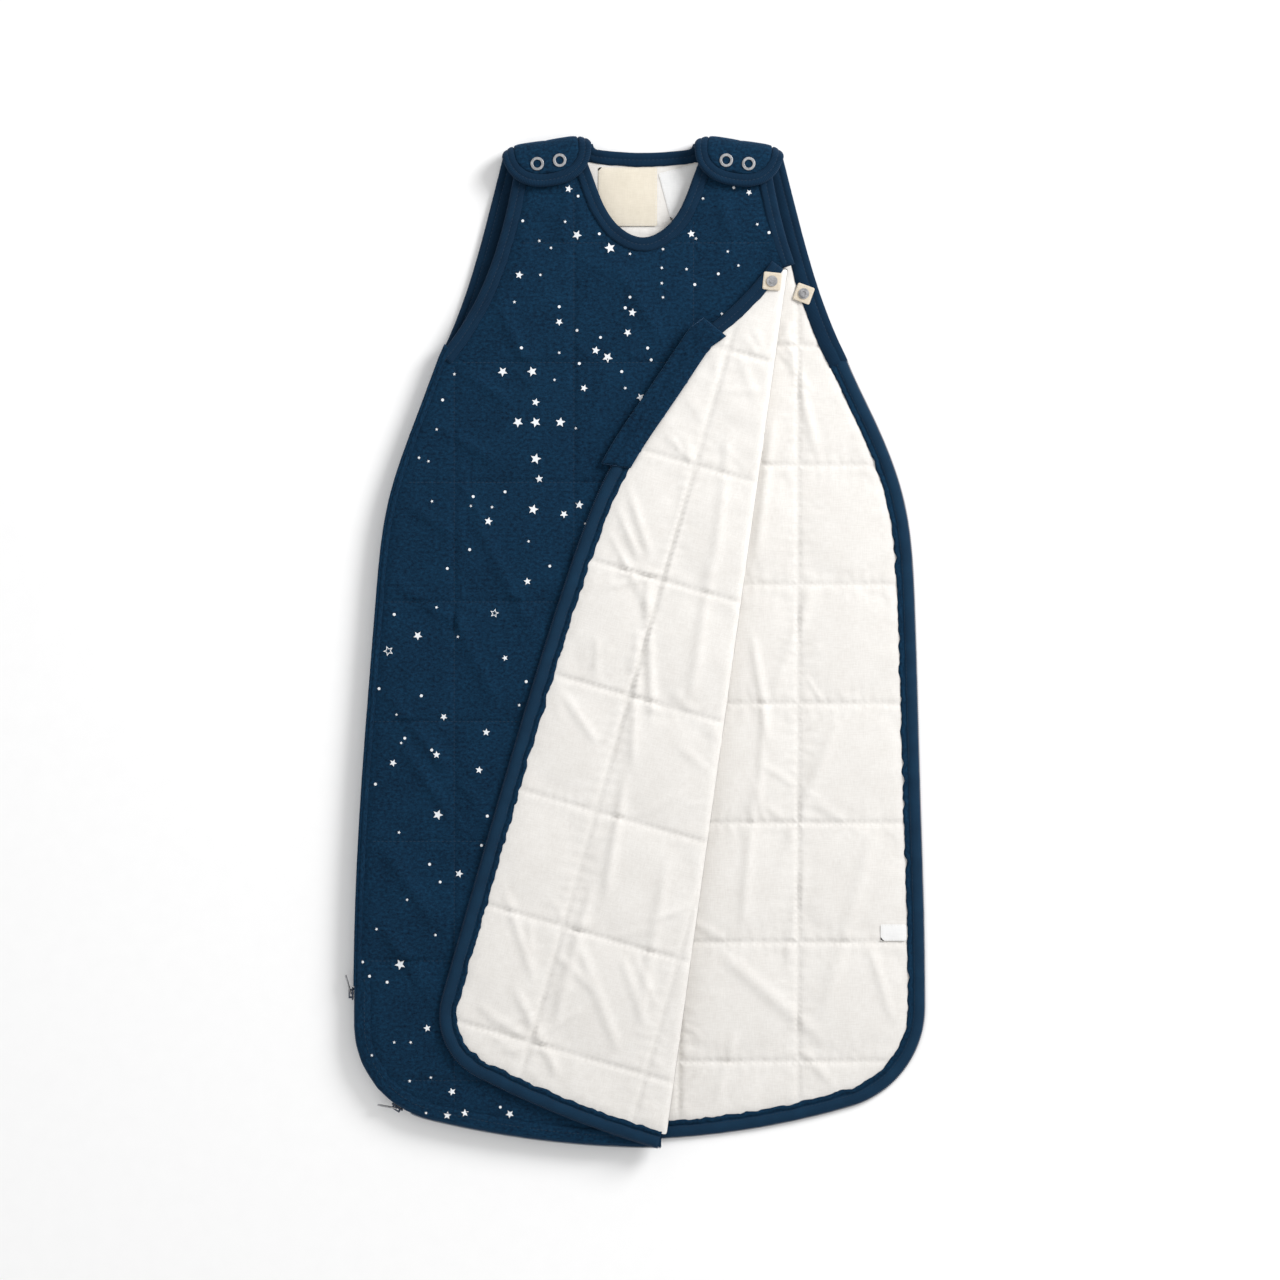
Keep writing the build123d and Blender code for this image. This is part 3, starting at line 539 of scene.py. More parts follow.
def formula_puff(points, loop, origin, height):
    """The same puff by formula: a pillow between the quilting lines and the outline."""
    def rise(distance, reach):
        return np.sqrt(1 - (1 - np.clip(distance / reach, 0, 1)) ** 2)

    across, along = offsets_from_lines(points, origin)
    edge = distance_to(points, even_outline(loop, COARSE))
    puff = rise(np.abs(across), QUILT / 2) * rise(np.abs(along), QUILT / 2) * rise(edge, QUILT / 3)
    return np.column_stack([np.zeros((len(points), 2)), height * puff])


def read_mesh(mesh):
    """A mesh's points, faces and flat coordinates."""
    points = np.zeros(3 * len(mesh.vertices), np.float32)
    mesh.vertices.foreach_get("co", points)
    corners = np.zeros(len(mesh.loops), np.int32)
    mesh.loops.foreach_get("vertex_index", corners)
    starts = np.zeros(len(mesh.polygons), np.int32)
    mesh.polygons.foreach_get("loop_start", starts)
    pairs = np.zeros(2 * len(mesh.loops), np.float32)
    mesh.uv_layers["flat"].data.foreach_get("uv", pairs)
    flat = np.zeros((len(mesh.vertices), 2))
    flat[corners] = pairs.reshape(-1, 2)
    return points.reshape(-1, 3).astype(float), np.split(corners, starts[1:]), flat


def subdivided(points, faces, flat):
    """Catmull-Clark subdivision: finer points, faces and flat coordinates."""
    piece = new_piece("coarse", points, faces, "white", flat)
    modifier = piece.modifiers.new("finer", "SUBSURF")
    modifier.levels = 1
    modifier.boundary_smooth = "PRESERVE_CORNERS"
    modifier.uv_smooth = "PRESERVE_BOUNDARIES"
    made = read_mesh(piece.evaluated_get(bpy.context.evaluated_depsgraph_get()).to_mesh())
    bpy.data.objects.remove(piece)
    return made


PUCKER_HEIGHT = 0.55 * MM
PUCKER_SPACING = 9.5 * MM  # from one gather to the next, along a quilting line
PUCKER_REACH = 11 * MM  # how far a gather runs out from the line


def puckers(flat, origin, seed):
    """Small gathers that run out from the quilting stitches, in metres of height."""
    lift = np.zeros(len(flat))
    for k, distance in enumerate(offsets_from_lines(flat, origin)):
        run = flat[:, 1 - k]
        drift = waves(flat, 24 * MM, seed + k, octaves=2)
        strength = 0.5 + 0.5 * waves(flat, 60 * MM, seed + 5 + k, octaves=2)
        reach = np.exp(-np.abs(distance) / PUCKER_REACH) * np.clip(np.abs(distance) / (2.5 * MM), 0, 1)
        turns = 2 * math.pi * run / PUCKER_SPACING + 3.0 * drift + 2 * k
        lift += PUCKER_HEIGHT * strength * reach * np.sin(turns)
    return lift


def crease(flat, start, end, height, width):
    """A soft ridge between two points of the flat pattern."""
    start, end = np.array(start) * MM, np.array(end) * MM
    run = end - start
    length = np.linalg.norm(run)
    away = flat - start
    along = away @ run / length
    across = np.abs(away[:, 0] * run[1] - away[:, 1] * run[0]) / length
    fade = np.clip(along / (0.25 * length), 0, 1) * np.clip((length - along) / (0.25 * length), 0, 1)
    return height * MM * eased(fade) * np.exp(-(across / (width * MM)) ** 2)


def wrinkles(flat, origin, seed, count):
    """Fine random creases that start at the quilting lines and run slantwise into the squares."""
    dice = random.Random(seed)
    low, high = flat.min(0), flat.max(0)
    lift = np.zeros(len(flat))
    for _ in range(count):
        spot = np.array([dice.uniform(low[k], high[k]) for k in (0, 1)])
        line = dice.randrange(2)
        spot[line] = origin[line] + round((spot[line] - origin[line]) / QUILT) * QUILT
        angle = dice.uniform(0.2, 1.1) * dice.choice((1, -1)) + (0 if line == 0 else math.pi / 2)
        reach = dice.uniform(22, 62) * MM * dice.choice((1, -1))
        end = spot + reach * np.array((math.cos(angle), math.sin(angle)))
        lift += crease(flat, spot / MM, end / MM, dice.uniform(0.5, 1.3), dice.uniform(2.0, 4.2))
    return lift


def surface_of(*pieces):
    """The faces of some pieces, ready to have things laid on them."""
    points, faces = [], []
    for piece in pieces:
        first = len(points)
        points += [v.co[:] for v in piece.data.vertices]
        faces += [[first + i for i in f.vertices] for f in piece.data.polygons]
    return BVHTree.FromPolygons(points, faces)


# ---- quilted panels ------------------------------------------------------------------------------
SEAM_REACH = 1.9 * MM  # half width of the valley along a quilting line
SEAM_DEPTH = 1.1 * MM
MOST_SLIDE = 1.5 * MM  # how far a simulated point may move sideways
SOFT_RISE = 6 * MM  # simulated heights above this are levelled off
BORDER = 25 * MM  # width of the stretch along an outline where wrinkles fade out
DRIFT = 0.8 * MM  # height of a panel's large soft waves
DRIFT_SIZE = 130 * MM
DIP = 0.3 * MM  # how far a panel may sink below its level
WRINKLES = 90  # how many fine creases a panel has
FREE_SHARE = 0.7  # the share of its most height that a panel may use before it is levelled off


def panel(name, look, loop, origin, place, level, rise, puff, growth_of, seed, creases=(), limit=None,
          pressed=(), to_fold=0.0):
    """One quilted sheet of cloth. rise is +1 or -1, the way its squares puff out from level.

    growth_of gives a simulated sheet's growth and pressure. creases are (from, to, height, half width),
    limit gives the most height at each point, pressed lists (centre, reach, most height), and to_fold
    is the height that the sheet comes up to along the fold."""
    points, faces = triangulated(loop, CELL, origin)
    if growth_of:
        across, along = offsets_from_lines(points, origin)
        near = 0.05 * CELL
        border = distance_to(points, even_outline(loop, CELL)) < near
        pins = border | (np.minimum(np.abs(across), np.abs(along)) < near)
        moved = simulated(points, faces, pins, *growth_of)
        moved[:, :2] = np.clip(moved[:, :2], -MOST_SLIDE, MOST_SLIDE)
        moved[:, 2] = puff * np.tanh(np.maximum(moved[:, 2], 0) / SOFT_RISE)
    else:
        moved = formula_puff(points, loop, origin, puff)
    shaped = np.column_stack([points, np.zeros(len(points))]) + moved
    shaped, faces, flat = subdivided(shaped, faces, points)
    inner = np.clip(distance_to(flat, even_outline(loop, COARSE)) / BORDER, 0, 1)
    lift = puckers(flat, origin, seed) + DRIFT * waves(flat, DRIFT_SIZE, seed + 11)
    lift += wrinkles(flat, origin, seed, WRINKLES)
    for one in creases:
        lift += crease(flat, *one)
    nearest = np.min(np.abs(offsets_from_lines(flat, origin)), axis=0)
    valley = 1 - np.exp(-(nearest / SEAM_REACH) ** 2)
    height = shaped[:, 2] + inner * lift * valley + np.minimum(inner * 3, 1) * SEAM_DEPTH * valley
    if limit is not None:
        top = limit(flat)
        free, rest = FREE_SHARE * top, (1 - FREE_SHARE) * top
        height = np.where(height > free, free + rest * np.tanh((height - free) / rest), height)
    height = np.maximum(height, -DIP)
    if to_fold:
        near = np.clip(1 - (np.abs(along_and_out(flat)[1]) - ARC) / (20 * MM), 0, 1)
        height = np.maximum(height, to_fold * eased(near))
    for centre, reach, most in pressed:
        near = np.clip((np.linalg.norm(flat - centre, axis=1) - reach) / (12 * MM), 0, 1)
        height = np.minimum(height, most + (height.max() - most) * near)
    return new_piece(name, place(np.column_stack([shaped[:, :2], level + rise * height])), faces, look, flat)


def declare_sheet(piece, loop, held, slanting=False):
    """Works out the size of a sheet of cloth from its flat outline; nothing is done with it. A slanting
    strip's size is worked out from its rim.
    """
    width, length = loop.max(0) - loop.min(0)
    area = abs(signed_area(loop))
    if slanting:
        half_rim = np.linalg.norm(loop - np.roll(loop, 1, 0), axis=1).sum() / 2
        width = (half_rim - math.sqrt(half_rim ** 2 - 4 * area)) / 2
        length = half_rim - width


def past_fold(loop, sign):
    """An outline that ends on the fold line, carried past it by the width that goes round the fold."""
    _, out = along_and_out(loop)
    near = np.abs(out) < 1.2 * MM
    first = next(i for i in range(len(loop)) if near[i] and not near[i - 1])
    loop, near = np.roll(loop, -first, 0), np.roll(near, -first)
    count = next((i for i in range(len(loop)) if not near[i]), len(loop))
    shift = sign * ARC * np.array(FOLD_OUT)[:2]
    ends = [loop[0], loop[0] + shift, loop[count - 1] + shift, loop[count - 1]]
    return np.vstack([ends, loop[count:]])


# Creases: from, to, height and half width, in mm on the opened bag.
BACK_CREASES = [
    ((150, 60), (105, -60), 1.8, 5), ((170, -60), (112, -200), 1.6, 5), ((112, 200), (95, 60), 1.8, 4),
    ((200, -150), (150, -330), 1.6, 6), ((122, 270), (150, 150), 1.6, 4),
    ((60, -260), (160, -345), 1.7, 6), ((92, 14), (108, -96), 1.8, 3.5),
    ((190, -250), (215, -330), 1.4, 4), ((80, -330), (60, -400), 1.5, 4), ((96, -110), (84, -250), 1.8, 4),
    ((104, -30), (98, -150), 1.3, 3), ((140, -180), (120, -290), 1.4, 4),
    ((-60, 390), (-20, 250), 1.0, 10), ((205, 60), (222, -20), 0.9, 4), ((130, -120), (180, -160), 0.8, 4),
]
OPENED_FLAP_CREASES = [
    ((3, 66), (8, -78), 3.0, 3.6), ((-4, 26), (-9, -116), 2.0, 3.4), ((-14, -108), (-33, -224), 2.8, 3.8),
    ((-16, 140), (7, 70), 2.2, 3.0), ((-26, 124), (-2, 66), 2.0, 2.6), ((-32, 100), (-8, 52), 1.6, 2.6),
    ((-72, -38), (-36, -90), 1.6, 3.4), ((42, 150), (12, 26), 2.0, 3.6), ((62, 92), (38, -64), 1.8, 4.5),
    ((-40, -196), (-78, -336), 2.4, 4.0), ((-58, -246), (-18, -354), 2.0, 3.8),
    ((-112, -286), (-68, -376), 2.2, 4), ((22, -176), (-6, -336), 1.8, 4.5),
    ((-122, -196), (-90, -294), 1.8, 3.2), ((74, 184), (60, 56), 1.6, 4.0),
    ((-60, -284), (-104, -318), 1.6, 3.0), ((-76, -262), (-36, -300), 1.8, 3.0),
    ((-20, -262), (4, -330), 1.5, 3.2),
]
MAIN_CREASES = [
    ((-118, 398), (-96, 318), 2.0, 6), ((-60, 400), (-72, 330), 1.6, 5), ((62, 398), (74, 338), 1.6, 5),
    ((108, 396), (96, 330), 1.8, 5), ((-30, 330), (20, 250), 1.6, 6), ((-150, 120), (-84, -10), 2.2, 6),
    ((-221, 58), (-145, 6), 2.2, 5), ((-226, -34), (-156, -119), 3.0, 6),
    ((-212, -76), (-150, -168), 2.2, 5), ((-159, -114), (-118, -162), 1.8, 5),
    ((-230, -160), (-172, -246), 2.4, 6), ((-230, -230), (-163, -319), 2.8, 6),
    ((-206, -262), (-140, -352), 2.0, 5), ((-130, 300), (-90, 220), 1.8, 5),
    ((-160, 236), (-110, 200), 1.8, 5), ((-185, 190), (-120, 150), 1.8, 5),
    ((-206, 120), (-150, 84), 1.8, 5), ((-150, -340), (-110, -410), 1.8, 5),
    ((-60, 300), (-10, 330), 1.4, 5), ((10, 220), (-60, 120), 1.8, 6), ((-168, 40), (-120, -60), 1.8, 6),
]
FLAP_CREASES = [(*turned_back(np.array(one[:2]) * MM) / MM, *one[2:]) for one in OPENED_FLAP_CREASES]


def room_under_flap(flat):
    """How high the front may puff: little under the folded flap, more beside it."""
    clear = np.where(inside(flat, FLAP_OPEN), 0, distance_to(flat, even_outline(FLAP_OPEN, COARSE)))
    return 2.3 * MM + 4.6 * MM * np.clip((clear - 12 * MM) / (50 * MM), 0, 1)


def constant(height):
    return lambda flat: np.full(len(flat), height)


LINING_BLOW = (0.012, 15)  # growth and pressure of the simulated squares
SHELL_BLOW = (0.008, 10)
MAIN_WIDE = past_fold(MAIN, 1)
FLAP_WIDE = past_fold(FLAP, -1)


def under_tab(node, body_is_flap, most):
    """The spot that a tape tab presses down: its centre, its reach and the most height there."""
    low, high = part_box(node)
    centre = np.array(((low + high) / 2)[:2])
    return (turned_back(centre[None])[0] if body_is_flap else centre, 9 * MM, most)


# Levels and puffs are heights on the closed bag.
back_lining = panel("back_lining_quilt", "white", BACK, BACK_QUILT, as_they_are, 3.7 * MM, 1, 2.6 * MM,
                    LINING_BLOW, 3, BACK_CREASES, constant(5.6 * MM),
                    [under_tab("back_underarm_tab", False, 2.3 * MM)])
back_shell = panel("back_shell_quilt", "navy", BACK, BACK_QUILT, as_they_are, 2.0 * MM, -1, 2.4 * MM,
                   None, 23, (), constant(1.95 * MM))
front_lining = panel("front_lining_quilt", "white", MAIN_WIDE, FRONT_QUILT, on_main, 13.9 * MM, -1, 3.4 * MM,
                     None, 33, (), constant(3.7 * MM))
front_shell = panel("front_shell_quilt", "navy", MAIN_WIDE, FRONT_QUILT, on_main, 15.9 * MM, 1, 2.2 * MM,
                    SHELL_BLOW, 43, MAIN_CREASES, room_under_flap, to_fold=2.2 * MM)
flap_lining = panel("flap_lining_quilt", "white", FLAP_WIDE, FRONT_QUILT, on_flap, 14.1 * MM, -1, 2.4 * MM,
                    LINING_BLOW, 53, FLAP_CREASES, constant(5.0 * MM),
                    [under_tab("flap_underarm_tab", True, 2.0 * MM)])
flap_shell = panel("flap_shell_quilt", "navy", FLAP_WIDE, FRONT_QUILT, on_flap, 15.9 * MM, 1, 2.2 * MM,
                   None, 63, (), constant(2.25 * MM), to_fold=2.2 * MM)
settle(back_lining, "root", "white_lining", "back_lining", "back_filling")
settle(back_shell, "root", "navy_knit", "back_shell")
settle(front_lining, "root", "white_lining", "front_lining", "front_filling")
settle(front_shell, "root", "navy_knit", "front_shell")
settle(flap_lining, "front_flap", "white_lining", "flap_lining", "flap_filling", "front_fold")
settle(flap_shell, "front_flap", "navy_knit", "flap_shell")


# ---- strips swept along the edges ----------------------------------------------------------------
EDGE_FACES = 10  # how many faces across a band take its second look
LONG_RIPPLE = 14 * MM  # lengths of the ripples along a band
SHORT_RIPPLE = 7 * MM
IN_THE_GROOVE = 4.6  # mm from a panel's edge out to its binding's topstitches


def longer(run, start=0.0, end=0.0, bend=0.0):
    """A run carried on past its ends, turning by bend degrees towards its plate's outside."""
    def onward(tip, before, length, turn):
        way = (tip - before) / np.linalg.norm(tip - before)
        points = []
        for _ in range(4):
            way = np.array((way[0] * math.cos(turn) - way[1] * math.sin(turn),
                            way[0] * math.sin(turn) + way[1] * math.cos(turn)))
            tip = tip + way * length / 4
            points.append(tip)
        return points

    turn = math.radians(bend) / 4
    parts = [run]
    if start:
        parts.insert(0, onward(run[0], run[1], start, turn)[::-1])
    if end:
        parts.append(onward(run[-1], run[-2], end, -turn))
    return np.vstack(parts)


def band(name, look, run, section, place=as_they_are, ripple=0.0, seed=0, edge_look=None, edge_from=None):
    """A closed strip swept along a run. section(share) gives its (outward, height) points in mm.

    The EDGE_FACES faces across it from point edge_from on take edge_look."""
    out = outward(run)
    lengths = lengths_along(run)
    shares = lengths / lengths[-1]
    count = len(section(0.0))
    points, flat = [], []
    for i, (at, normal) in enumerate(zip(run, out)):
        profile = np.array(section(shares[i])) * MM
        near_end = min(lengths[i], lengths[-1] - lengths[i])
        squeeze = 1 - 0.45 * max(0, 1 - near_end / (1.2 * MM))
        middle = profile[:, 1].mean()
        profile[:, 1] = middle + (profile[:, 1] - middle) * squeeze
        if ripple:
            wobble = noise.fractal(Vector((lengths[i] / LONG_RIPPLE, seed, 0)), 0.8, 2, 3)
            flutter = noise.noise(Vector((lengths[i] / SHORT_RIPPLE, seed, 9)))
            inner = np.clip(1 - (profile[:, 0] - profile[:, 0].min()) / (6 * MM), 0, 1)
            profile[:, 0] += ripple * MM * ((1.9 * wobble + 1.3 * flutter) * inner + 0.4 * wobble)
            profile[:, 1] += ripple * MM * (1.2 * flutter * inner + 0.5 * wobble)
        for (o, h), v in zip(profile, lengths_along(profile)):
            points.append((*(at + o * normal), h))
            flat.append((lengths[i], v))
    faces, looks = [], []
    for i in range(len(run) - 1):
        for k in range(count):
            a, b = i * count + k, i * count + (k + 1) % count
            faces.append((a, a + count, b + count, b))
            looks.append(int(edge_from is not None and edge_from <= k < edge_from + EDGE_FACES))
    faces.append(tuple(range(count)))
    faces.append(tuple(reversed([(len(run) - 1) * count + k for k in range(count)])))
    looks += [0, 0]
    piece = new_piece(name, place(np.array(points)), faces, look, flat)
    if edge_look:
        piece.data.materials.append(LOOKS[edge_look])
        piece.data.polygons.foreach_set("material_index", looks)
    outwards(piece)
    return piece


def outwards(piece):
    """Turns a closed mesh's faces to point out."""
    bm = bmesh.new()
    bm.from_mesh(piece.data)
    bmesh.ops.recalc_face_normals(bm, faces=bm.faces[:])
    bm.to_mesh(piece.data)
    bm.free()


def mirrored(section):
    """A section of the back's edge, turned into the front's: their linings face each other."""
    whole = (BACK_TOP + FRONT_LOW) / MM
    return lambda share: [(o, whole - h) for o, h in section(share)]


def steady(points):
    return lambda share: points


# Sections of the bands: (outward, height) in mm.
BINDING = [
    (-1.0, 3.0), (-0.9, 4.9), (-0.3, 5.8), (0.8, 6.25), (2.4, 6.35), (3.9, 6.0), (4.6, 5.55), (5.3, 6.0),
    (6.8, 6.45), (8.6, 6.3), (10.1, 5.6), (10.9, 4.3), (11.1, 3.0), (10.9, 1.7), (10.1, 0.5), (8.6, -0.1),
    (6.8, 0.0), (5.3, 0.2), (4.6, 0.55), (3.9, 0.2), (2.4, 0.0), (0.8, 0.0), (-0.3, 0.3), (-0.9, 1.2),
]
TAPE = [
    (-2.2, 4.3), (-2.0, 5.0), (-1.0, 5.7), (0.4, 5.6), (1.6, 4.7), (2.4, 3.9), (3.2, 4.8), (4.6, 5.6),
    (6.6, 6.0), (8.8, 5.9), (10.6, 5.2), (11.7, 4.2), (12.1, 3.3), (11.9, 2.4), (11.0, 1.5), (9.5, 0.7),
    (7.5, 0.3), (5.4, 0.7), (3.0, 0.1), (0.5, 0.1), (-1.4, 0.6), (-2.0, 2.0),
]
TAPE_SHUT = [
    (-2.2, 4.3), (-2.0, 5.0), (-1.0, 5.4), (0.4, 5.4), (1.6, 5.2), (2.4, 5.1), (3.2, 5.2), (4.6, 5.3),
    (6.6, 5.5), (8.8, 5.9), (10.2, 6.5), (11.2, 7.0), (12.1, 6.9), (12.5, 4.6), (12.3, 2.8), (11.0, 1.2),
    (8.5, 0.4), (5.4, 0.6), (3.0, 0.1), (0.5, 0.1), (-1.4, 0.6), (-2.0, 2.0),
]
SEAM = [
    (-1.0, 9.0), (-0.8, 16.2), (0.2, 17.8), (1.6, 18.5), (2.8, 18.2), (3.4, 17.3), (4.0, 17.9),
    (5.0, 17.9), (5.9, 16.6), (6.2, 14.0), (5.9, 11.0), (5.4, 9.0), (5.9, 7.0), (6.2, 4.0), (5.9, 1.4),
    (5.0, 0.1), (4.0, 0.1), (3.4, 0.7), (2.8, 0.0), (1.6, 0.0), (0.2, 0.3), (-0.8, 1.8),
]


def tape_section(shut_until, reach=0.02):
    """The zip tape's section: turned towards the other tape where the zip is shut, free further on."""
    def section(share):
        open_share = eased(np.clip((share - shut_until) / reach + 0.5, 0, 1))
        return [(a[0] + (b[0] - a[0]) * open_share, a[1] + (b[1] - a[1]) * open_share)
                for a, b in zip(TAPE_SHUT, TAPE)]
    return section


def stitch_mesh(name, rows, look, length=2.4 * MM, gap=1.0 * MM, width=0.42 * MM, proud=0.12 * MM):
    """Rows of machine stitches: short pointed bars along each row of surface points."""
    points, faces = [], []
    for row in rows:
        row = np.asarray(row)
        if len(row) < 2:
            continue
        fine = evenly(row, (length + gap) / 2)
        for a, b in zip(fine[0:-1:2], fine[1::2]):
            run = b - a
            size = np.linalg.norm(run)
            if size < 0.3 * MM or size > 4 * length:
                continue
            run /= size
            middle = (a + b) / 2
            a, b = middle - run * length / 2, middle + run * length / 2
            side = np.cross(run, (0, 0, 1)) * width / 2
            up = np.array((0, 0, proud))
            first = len(points)
            points += [a - up, a + 0.2 * (b - a) + side, a + 0.2 * (b - a) - side, middle + up * 1.6,
                       a + 0.8 * (b - a) + side, a + 0.8 * (b - a) - side, b - up]
            faces += [(first + i, first + j, first + k) for i, j, k in
                      ((0, 1, 3), (0, 3, 2), (1, 4, 3), (2, 3, 5), (4, 6, 3), (5, 3, 6))]
    return new_piece(name, points, faces, look, np.array(points)[:, :2])


def row_on_band(run, offset, height, place=as_they_are):
    """The line that a row of stitches follows along a band, offset mm out from the panel's edge."""
    path = run + outward(run) * offset * MM
    return place(np.column_stack([path, np.full(len(path), height * MM)]))


def coil(name, run, offset, height, radius, place, pitch=1.7, wire=0.36):
    """A zip coil: a thin helix that lies along an edge, with its sizes in mm."""
    path = evenly(run + outward(run) * offset * MM, pitch * MM / 6)
    out = outward(path)
    points, faces = [], []
    for i, (at, normal) in enumerate(zip(path, out)):
        turn = 2 * math.pi * i / 6
        arm = np.array((*(normal * math.cos(turn)), math.sin(turn)))
        centre = np.array((*at, height * MM)) + arm * radius * MM
        step = path[min(i + 1, len(path) - 1)] - path[max(i - 1, 0)]
        side = np.array((*step, 0)) / np.linalg.norm(step)
        for k in range(4):
            angle = math.pi / 2 * k
            points.append(centre + wire * MM * (arm * math.cos(angle) + side * math.sin(angle)))
    for i in range(len(path) - 1):
        for k in range(4):
            a, b = 4 * i + k, 4 * i + (k + 1) % 4
            faces.append((a, b, b + 4, a + 4))
    faces += [(3, 2, 1, 0), tuple(4 * (len(path) - 1) + k for k in range(4))]
    return new_piece(name, place(np.array(points)), faces, "coil", np.array(points)[:, :2])


def wider(section, inwards):
    """A section whose inner edge reaches further over the panel."""
    return [(o - inwards if o < 0 else o, h) for o, h in section]


def binding(name, plate, section, stitch_height, seed, ends, bend=0, body="root", place=as_they_are):
    """A binding along a panel's edge, with its topstitches. ends are how far it runs on past it, in mm."""
    node = f"{name}_binding"
    edge = shared_edge(plate, outline_of(node, closed_front=place is on_flap))
    run = longer(edge, ends[0] * MM, ends[1] * MM, bend)
    piece = band(f"{name}_rib", "rib", run, section, place, ripple=0.25, seed=seed)
    settle(piece, body, "navy_binding", node)
    rows = [row_on_band(run, IN_THE_GROOVE, stitch_height, place)]
    settle(stitch_mesh(f"{name}_topstitch", rows, "navy_thread"), body, "navy_binding")


for side, ends, inwards, bend in (
    ("neck", (17, 17), 0, 62),
    ("left_armhole", (13, 9), 5, 0),
    ("right_armhole", (9, 13), 5, 0),
):
    binding(f"back_{side}", BACK, steady(wider(BINDING, inwards)), 5.7, len(side), ends, bend)
FRONT_BINDING = mirrored(steady(BINDING))
for side, ends in (("neck", (0, 0)), ("left_armhole", (0, 9)), ("right_armhole", (0, 0))):
    binding(f"front_{side}", MAIN, FRONT_BINDING, 17.6, 5 + len(side), ends)
binding("flap_armhole", FLAP, FRONT_BINDING, 12.35, 31, (9, 0), body="front_flap", place=on_flap)

run = longer(shared_edge(BACK, outline_of("left_side_seam")), 8 * MM, 2 * MM)
piece = band("left_side_piping", "navy", run, steady(SEAM), ripple=0.2, seed=41)
settle(piece, "root", "navy_knit", "left_side_seam")

# ---- the zip -------------------------------------------------------------------------------------
OPENING_AT = np.array((-208.4, -395.0)) * MM  # the opening slider, where the zip stops being shut


def share_at(run, spot):
    """How far along a run its point nearest to a spot is, as a share of its length."""
    lengths = lengths_along(run)
    return float(lengths[np.argmin(np.linalg.norm(run - spot, axis=1))] / lengths[-1])


def zip_edge(name, plate, rim_node, ends, place, body, nodes, is_front, stitch_height, shut=True):
    """One side's zip tape with its stitches. Gives its run, the share of it that is shut, and the piece."""
    run = longer(shared_edge(plate, outline_of(rim_node, closed_front=place is on_flap)), *ends)
    shut_until = share_at(run, OPENING_AT) if shut else -1.0
    section = tape_section(shut_until)
    if is_front:
        section = mirrored(section)
    piece = band(f"{name}_tape_band", "navy", run, section, place, ripple=0.75, seed=len(name) * 7,
                 edge_look="tape", edge_from=5)
    settle(piece, body, "zip_tape", *nodes)
    row = row_on_band(run, 3.4, stitch_height, place)
    settle(stitch_mesh(f"{name}_tape_stitches", [row], "navy_thread"), body, "zip_tape")
    return run, shut_until, piece


back_run, back_shut, _ = zip_edge(
    "back_zip", BACK, "back_zip_tape", (4 * MM, 6 * MM), as_they_are, "root",
    ("back_zip_tape", "zip_edge_tapes"), False, 5.0,
)
front_run, front_shut, front_tape = zip_edge(
    "front_zip", MAIN, "front_zip_tape", (4 * MM, 0.0), as_they_are, "root", ("front_zip_tape",), True, 17.85,
)
flap_run, _, _ = zip_edge(
    "flap_zip", FLAP, "flap_zip_tape", (0.0, 6 * MM), on_flap, "front_flap", ("flap_zip_tape",), True, 13.0,
    shut=False,
)


def part_of(run, start, end):
    """The stretch of a run between two shares of its length."""
    fine = evenly(run, 0.5 * MM)
    return fine[int(start * (len(fine) - 1)):int(end * (len(fine) - 1)) + 1]


SHUT_RUN = part_of(front_run, 0.03, front_shut)
for name, run, offset, height, radius, place, body, nodes in (
    ("back_coil", part_of(back_run, back_shut + 0.012, 0.993), 12.0, 2.6, 1.0, as_they_are, "root",
     ["back_zip_coil"]),
    ("front_coil", part_of(front_run, front_shut + 0.03, 1.0), 12.0, 15.4, 1.0, as_they_are, "root",
     ["front_zip_coil"]),
    ("flap_coil", part_of(flap_run, 0.0, 0.993), 12.0, 15.4, 1.0, on_flap, "front_flap", ["flap_zip_coil"]),
    ("closed_chain_lower", SHUT_RUN, 11.4, 7.8, 1.3, as_they_are, "root", ["zip_chain"]),
    ("closed_chain_upper", SHUT_RUN, 11.4, 10.2, 1.3, as_they_are, "root", []),
):
    settle(coil(name, run, offset, height, radius, place), body, "zip_coil", *nodes)


# ---- quilting stitches ---------------------------------------------------------------------------
def quilt_rows(piece, origin):
    """The lines of a panel's own points that lie on its quilting lines, in order."""
    points, _, flat = read_mesh(piece.data)
    rows = []
    for k, distance in enumerate(offsets_from_lines(flat, origin)):
        on_line = np.abs(distance) < 0.12 * MM
        number = np.round((flat[:, k] - origin[k]) / QUILT)
        for line in np.unique(number[on_line]):
            chosen = np.where(on_line & (number == line))[0]
            chosen = chosen[np.argsort(flat[chosen, 1 - k])]
            breaks = np.where(np.diff(flat[chosen, 1 - k]) > 6 * MM)[0] + 1
            rows += [points[part] for part in np.split(chosen, breaks) if len(part) > 3]
    return rows


def lifted(rows, height):
    return [row + np.array((0, 0, height)) for row in rows]


for name, piece, origin, body, look, slot, height in (
    ("back_lining_stitches", back_lining, BACK_QUILT, "root", "white_thread", "white_lining", 0.08),
    ("flap_lining_stitches", flap_lining, FRONT_QUILT, "front_flap", "white_thread", "white_lining", 0.08),
    ("front_shell_stitches", front_shell, FRONT_QUILT, "root", "navy_thread", "navy_knit", 0.08),
    ("back_shell_stitches", back_shell, BACK_QUILT, "root", "navy_thread", "navy_knit", -0.08),
):
    rows = lifted(quilt_rows(piece, origin), height * MM)
    settle(stitch_mesh(name, rows, look, 2.5 * MM, 0.9 * MM, 0.36 * MM, 0.08 * MM), body, slot)


